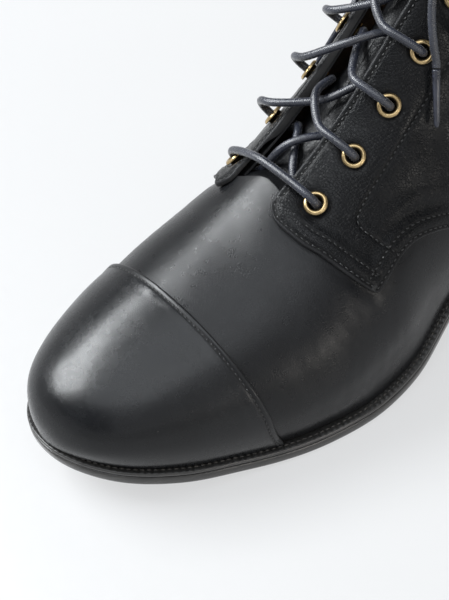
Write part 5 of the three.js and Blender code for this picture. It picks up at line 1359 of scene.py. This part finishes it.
def fill(ring, step):
    """Triangles inside a 2-D ring with inner points; returns points and faces (ring points first)."""
    lo, hi = ring.min(0), ring.max(0)
    gx, gy = np.meshgrid(np.arange(lo[0] + step/2, hi[0], step), np.arange(lo[1] + step/2, hi[1], step))
    G = np.stack([gx.ravel(), gy.ravel()], 1)
    G = G[inside(ring, G)]
    D, _ = near(G, ring)
    G = G[D > step*.5]
    P2 = np.concatenate([ring, G])
    n = len(ring)
    vs, _, fs, _, _, _ = delaunay_2d_cdt([Vector(p) for p in P2.tolist()], [(i, (i+1) % n) for i in range(n)], [], 0, 1e-7)
    V2 = np.array([(v.x, v.y) for v in vs])
    F = np.array([f for f in fs if len(f) == 3])
    F = F[inside(ring, V2[F].mean(1))]
    return V2, F

def slab(name, poly, prof, mats, fmat, step=.7, inner=5.0, closed_ring=False, uvk=None, top_disp=None):
    """Rings of prof [(inset, z function)] swept round poly; first and last rings are filled unless closed_ring."""
    P, s = even(np.asarray(poly, float), step)
    n = len(P)
    V, F, fm = [], [], []
    rings = []
    for i, (d, zf) in enumerate(prof):
        Q = ring_inset(P, d) if abs(d) > 1e-9 else P
        z = zf(Q[:, 0])
        if top_disp is not None:
            z = z + top_disp(i, Q, s, d)
        rings.append(Q)
        V.append(np.stack([Q[:, 1], 150 - Q[:, 0], z], 1))
    area = (P[:, 0]*np.roll(P[:, 1], -1) - np.roll(P[:, 0], -1)*P[:, 1]).sum()
    m_ = len(prof)
    for i in range(m_ if closed_ring else m_-1):
        j = (i+1) % m_
        for k in range(n):
            l = (k+1) % n
            f = [i*n+k, i*n+l, j*n+l, j*n+k]
            F.append(f if area < 0 else f[::-1])
            fm.append(fmat[i] if i < len(fmat) else 0)
    if not closed_ring:
        for which in (0, m_-1):
            V2, T = fill(rings[which], inner)
            zf = prof[which][1]
            base = sum(len(v) for v in V)
            key = {}
            R = rings[which]
            for i, p in enumerate(R.tolist()):
                key[(round(p[0], 4), round(p[1], 4))] = which*n + i
            ids, extra = [], []
            for p in V2.tolist():
                k = key.get((round(p[0], 4), round(p[1], 4)))
                if k is None:
                    k = base + len(extra)
                    extra.append([p[1], 150 - p[0], float(zf(np.array([p[0]]))[0])])
                ids.append(k)
            if extra:
                V.append(np.array(extra))
            for t in T.tolist():
                a, b, c = V2[t[0]], V2[t[1]], V2[t[2]]
                o = (b[0]-a[0])*(c[1]-a[1]) - (b[1]-a[1])*(c[0]-a[0])
                f = [ids[i] for i in t]
                # seen from above (x, -t): positive o in (t, x) points up
                upf = o > 0
                want_up = which == m_-1
                F.append(f if upf == want_up else f[::-1])
                fm.append(fmat[-1] if which == m_-1 else fmat[0])
    V = np.concatenate(V)
    o = mesh(name, to_frame(V), F, mats, fm)
    import bmesh
    bm = bmesh.new(); bm.from_mesh(o.data)
    bmesh.ops.recalc_face_normals(bm, faces=bm.faces)
    bm.to_mesh(o.data); bm.free()
    o.data.update()
    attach(o, "boot")
    return o

zoff = lambda h: (lambda t: zb(t) + h)
OUTL = outline[:, :2]
def sole_wave(i, Q, s, d):
    return np.zeros(len(Q))
sole_prof = [(15.0, zoff(0.0)), (8.2, zoff(0.0)), (7.9, zoff(.05)), (7.6, zoff(.32)), (7.3, zoff(.05)), (7.0, zoff(0.0)), (1.3, zoff(0.0)), (.7, zoff(.06)), (.28, zoff(.28)), (.07, zoff(.7)), (0.0, zoff(1.4)), (-.04, zoff(2.2)), (0.0, zoff(3.0)), (.07, zoff(3.55)), (.24, zoff(3.92)), (.55, zoff(4.12)), (1.0, zoff(4.2)), (6.0, zoff(4.2))]
o = slab("outsole_leather", OUTL, sole_prof, [M_SOLE, M_BOTTOM], [1]*7 + [0]*10, step=.8)
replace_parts(o, "outsole")

# welt: fudge-wheel ribs along its top, a stitch between each pair, satin edge below
PITCH_W = 2.25
def welt_disp(i, Q, s, d):
    if i < 7 or i > 14:
        return np.zeros(len(Q))
    L = s[-1] + (s[1] - s[0])
    n = round(L/PITCH_W)
    ph = s/L*n*2*math.pi
    k = {7: .25, 8: .8, 9: 1.0, 10: 1.0, 11: 1.0, 12: .9, 13: .5, 14: .15}[i]
    t = Q[:, 0]
    seat = ss(60, 84, t)          # the ribs fade out round the heel seat
    wear = .8 + .25*wob(np.stack([Q[:, 0], Q[:, 1], 0*s], 1), 16, 61)
    return -k*.24*wear*(.35 + .65*seat)*np.clip(np.cos(ph)*1.35, -.35, 1.0)*.8 - .05*k
welt_prof = [(8.0, zoff(4.5)), (.75, zoff(4.5)), (.35, zoff(4.62)), (.12, zoff(4.9)), (.05, zoff(5.35)), (.10, zoff(5.75)), (.28, zoff(6.05)), (.55, zoff(6.24)), (.85, zoff(6.33)), (1.3, zoff(6.36)), (1.8, zoff(6.36)), (2.3, zoff(6.35)), (2.75, zoff(6.34)), (3.05, zoff(6.3)), (3.35, zoff(6.24)), (3.8, zoff(6.2)), (8.0, zoff(6.2))]
o = slab("welt_strip", OUTL, welt_prof, [M_WELT, M_SOLE], [0, 1, 1, 1, 1, 1, 0, 0, 0, 0, 0, 0, 0, 0, 0, 0, 0], step=.28, closed_ring=True, top_disp=welt_disp)
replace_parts(o, "welt")

def welt_stitches():
    P, s = even(OUTL, .28)
    L = s[-1] + (s[1] - s[0])
    n = round(L/PITCH_W)
    Q = ring_inset(P, 2.05)
    V, F = [], []
    ns, nr = 7, 6
    for j in range(n):
        mid = (j + .5)*L/n
        u = np.linspace(-1, 1, ns)
        sp = (mid + u*.82)
        t = np.interp(sp % L, np.append(s, L), np.append(Q[:, 0], Q[0, 0]))
        x = np.interp(sp % L, np.append(s, L), np.append(Q[:, 1], Q[0, 1]))
        tm = float(t.mean())
        if tm < 74 or not np.all(np.isfinite(t)):
            continue
        z = zb(t) + 6.46 - .34*np.abs(u)**3
        C = np.stack([x, 150 - t, z], 1)
        T = np.gradient(C, axis=0); T /= np.linalg.norm(T, axis=1, keepdims=True)
        N = np.tile([0, 0, 1.0], (ns, 1)); B = np.cross(T, N); B /= np.linalg.norm(B, axis=1, keepdims=True)
        v0 = len(V)
        for i in range(ns):
            r = .30*(1 - .4*abs(u[i])**4)
            for q in range(nr):
                th = 2*math.pi*q/nr
                V.append(C[i] + (B[i]*math.cos(th) + N[i]*math.sin(th)*.8)*r)
        for i in range(ns-1):
            for q in range(nr):
                b = (q+1) % nr
                F.append([v0+i*nr+q, v0+i*nr+b, v0+(i+1)*nr+b, v0+(i+1)*nr+q])
        F.append([v0+q for q in range(nr)][::-1]); F.append([v0+(ns-1)*nr+q for q in range(nr)])
    o = mesh("welt_stitching", to_frame(np.array(V)), F, [M_WELT_THREAD])
    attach(o, "boot")
welt_stitches()

# heel: three leather lifts and a rubber top piece; the breast is slightly hollowed
def heel_poly(ins, tb, hollow=2.2, r=1.6):
    q = inset(ins) if ins else outline
    keep = q[q[:, 0] < tb]
    lat = keep[keep[:, 1] > 0]; med = keep[keep[:, 1] <= 0]
    lat = lat[np.argsort(lat[:, 0])]; med = med[np.argsort(-med[:, 0])]
    xl = float(np.interp(tb, SOLE_L[:, 0], SOLE_L[:, 1])) - ins
    xm = float(np.interp(tb, SOLE_M[:, 0], SOLE_M[:, 1])) + ins
    lat = lat[lat[:, 0] < tb - r]; med = med[med[:, 0] < tb - r]
    k = np.linspace(0, 1, 7)[1:]
    cl = [(tb - r + r*math.sin(a*math.pi/2), xl - r + r*math.cos(a*math.pi/2)) for a in k]
    cm = [(tb - r + r*math.sin(a*math.pi/2), xm + r - r*math.cos(a*math.pi/2)) for a in k][::-1]
    xs = np.linspace(xl - r, xm + r, 40)[1:-1]
    mid, hw = (xl + xm)/2, (xl - xm)/2 - r
    br = [(tb - hollow*(1 - ((x - mid)/hw)**2), x) for x in xs]
    return np.array(lat.tolist() + cl + br + cm + med.tolist())
def lift_piece(name, node, ins, tb, z0, z1, mats, r0=.35, r1=.35):
    poly = heel_poly(ins, tb)
    prof = [(5.0, z0), (r0*1.6, z0), (r0*.55, lambda t: z0(t) + r0*.25), (.05, lambda t: z0(t) + r0*.9), (0.0, lambda t: (z0(t) + z1(t))/2), (.05, lambda t: z1(t) - r1*.9), (r1*.55, lambda t: z1(t) - r1*.25), (r1*1.6, z1), (5.0, z1)]
    o = slab(name, poly, prof, mats, [0]*8, step=.7, inner=6.0)
    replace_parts(o, node)
flat = lambda h: (lambda t: np.full(np.shape(t), float(h)))
lift_piece("heel_top_piece", "top_lift", .6, HEEL_BREAST, flat(0), flat(TOP_LIFT), [M_RUBBER], .5, .25)
lift_piece("heel_lift_low", "heel_lift_lower", .5, HEEL_BREAST - .4, flat(TOP_LIFT + .12), flat(TOP_LIFT + LIFT), [M_LIFT], .18, .18)
lift_piece("heel_lift_mid", "heel_lift_middle", .4, HEEL_BREAST - .8, flat(TOP_LIFT + LIFT + .10), flat(TOP_LIFT + 2*LIFT), [M_LIFT], .18, .18)
lift_piece("heel_lift_top", "heel_lift_upper", .3, HEEL_BREAST - 1.2, flat(TOP_LIFT + 2*LIFT + .10), lambda t: zb(t) - .06, [M_LIFT], .18, .18)

# sock liner seen through the mouth
sp_ = inset(12.6)
sp_ = sp_[(sp_[:, 0] > 12) & (sp_[:, 0] < 287)]
sock_prof = [(4.0, zoff(9.1)), (.3, zoff(9.1)), (0.0, zoff(9.4)), (.05, zoff(10.0)), (.3, zoff(10.25)), (.8, zoff(10.3)), (4.0, zoff(10.3))]
o = slab("sock_leather_piece", sp_, sock_prof, [M_SOCK], [0]*6, step=1.2, inner=4.0)
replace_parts(o, "sock_liner")
for nm, mt in (("insole", M_INSOLE), ("cork_filler", M_CORK), ("shank", M_STEEL)):
    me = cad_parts[nm].data
    me.materials.clear(); me.materials.append(mt)

# ------------------------------------------------------------------ stage
q = Mat("pale_table")
n1, n2 = q.noise(220.0, 2.0), q.noise(4.0, 3.0)
q.to("Base Color", q.mix(q.remap(n1, .3, .7), (.15, .1525, .155), (.16, .162, .164)))
q.b.inputs["Emission Color"].default_value = (.985, .992, 1.0, 1)
q.b.inputs["Emission Strength"].default_value = .60
q.to("Roughness", q.remap(n2, .3, .7, .30, .38))
q.b.inputs["Specular IOR Level"].default_value = .35
z_floor = float(CAD_BOX[0].z) - .0004
# a wide round table that sweeps up into a pale wall far behind
sweep = [(12.0, 0.0)] + [(12 + 2*math.sin(a), 2 - 2*math.cos(a)) for a in np.linspace(.12, math.pi/2, 12)] + [(14.0, 5.0)]
fv, ff, seg = [(0.0, 0.0, z_floor)], [], 96
for r_, h_ in sweep:
    fv += [(r_*math.cos(2*math.pi*k/seg), r_*math.sin(2*math.pi*k/seg), z_floor + h_) for k in range(seg)]
for k in range(seg):
    ff.append([0, 1 + k, 1 + (k+1) % seg])
    for i in range(len(sweep) - 1):
        a_, b_ = 1 + i*seg, 1 + (i+1)*seg
        ff.append([a_ + k, b_ + k, b_ + (k+1) % seg, a_ + (k+1) % seg])
fl = mesh("studio_floor", fv, ff, [q.m])

def area(name, offset, size, power, colour, size_y=None):
    ld = bpy.data.lights.new(name, "AREA")
    ld.shape = "RECTANGLE"
    ld.size, ld.size_y = size, size_y or size
    ld.energy, ld.color = power, colour
    o = bpy.data.objects.new(name, ld)
    bpy.context.scene.collection.objects.link(o)
    c = Vector((0.0, -.03, .06))
    o.location = c + Vector(offset)
    o.rotation_mode = "QUATERNION"
    o.rotation_quaternion = Vector(offset).to_track_quat("Z", "Y")
    return o
area("overhead", (.11, -.29, 1.16), 1.0, 9.0, (.92, .96, 1.0))
area("window_left", (-.70, -.55, .80), .56, 25.0, (.95, .98, 1.0))
area("window_side", (-.84, -.19, .83), .24, 5.4, (.95, .98, 1.0))
area("side_glow", (1.07, .02, .25), .34, 1.9, (1.0, .95, .88), .22)
area("front_fill", (.80, -.37, .80), 1.2, 3.2, (.97, .98, 1.0))
area("fill_back", (.2, 1.15, .8), .9, 3.0, (1.0, .98, .95))
world = bpy.data.worlds.new("soft_studio")
bpy.context.scene.world = world
world.use_nodes = True
bgn = world.node_tree.nodes["Background"]
bgn.inputs[0].default_value = (.93, .96, 1.0, 1)
bgn.inputs[1].default_value = .10
bpy.context.scene.view_settings.view_transform = "Standard"
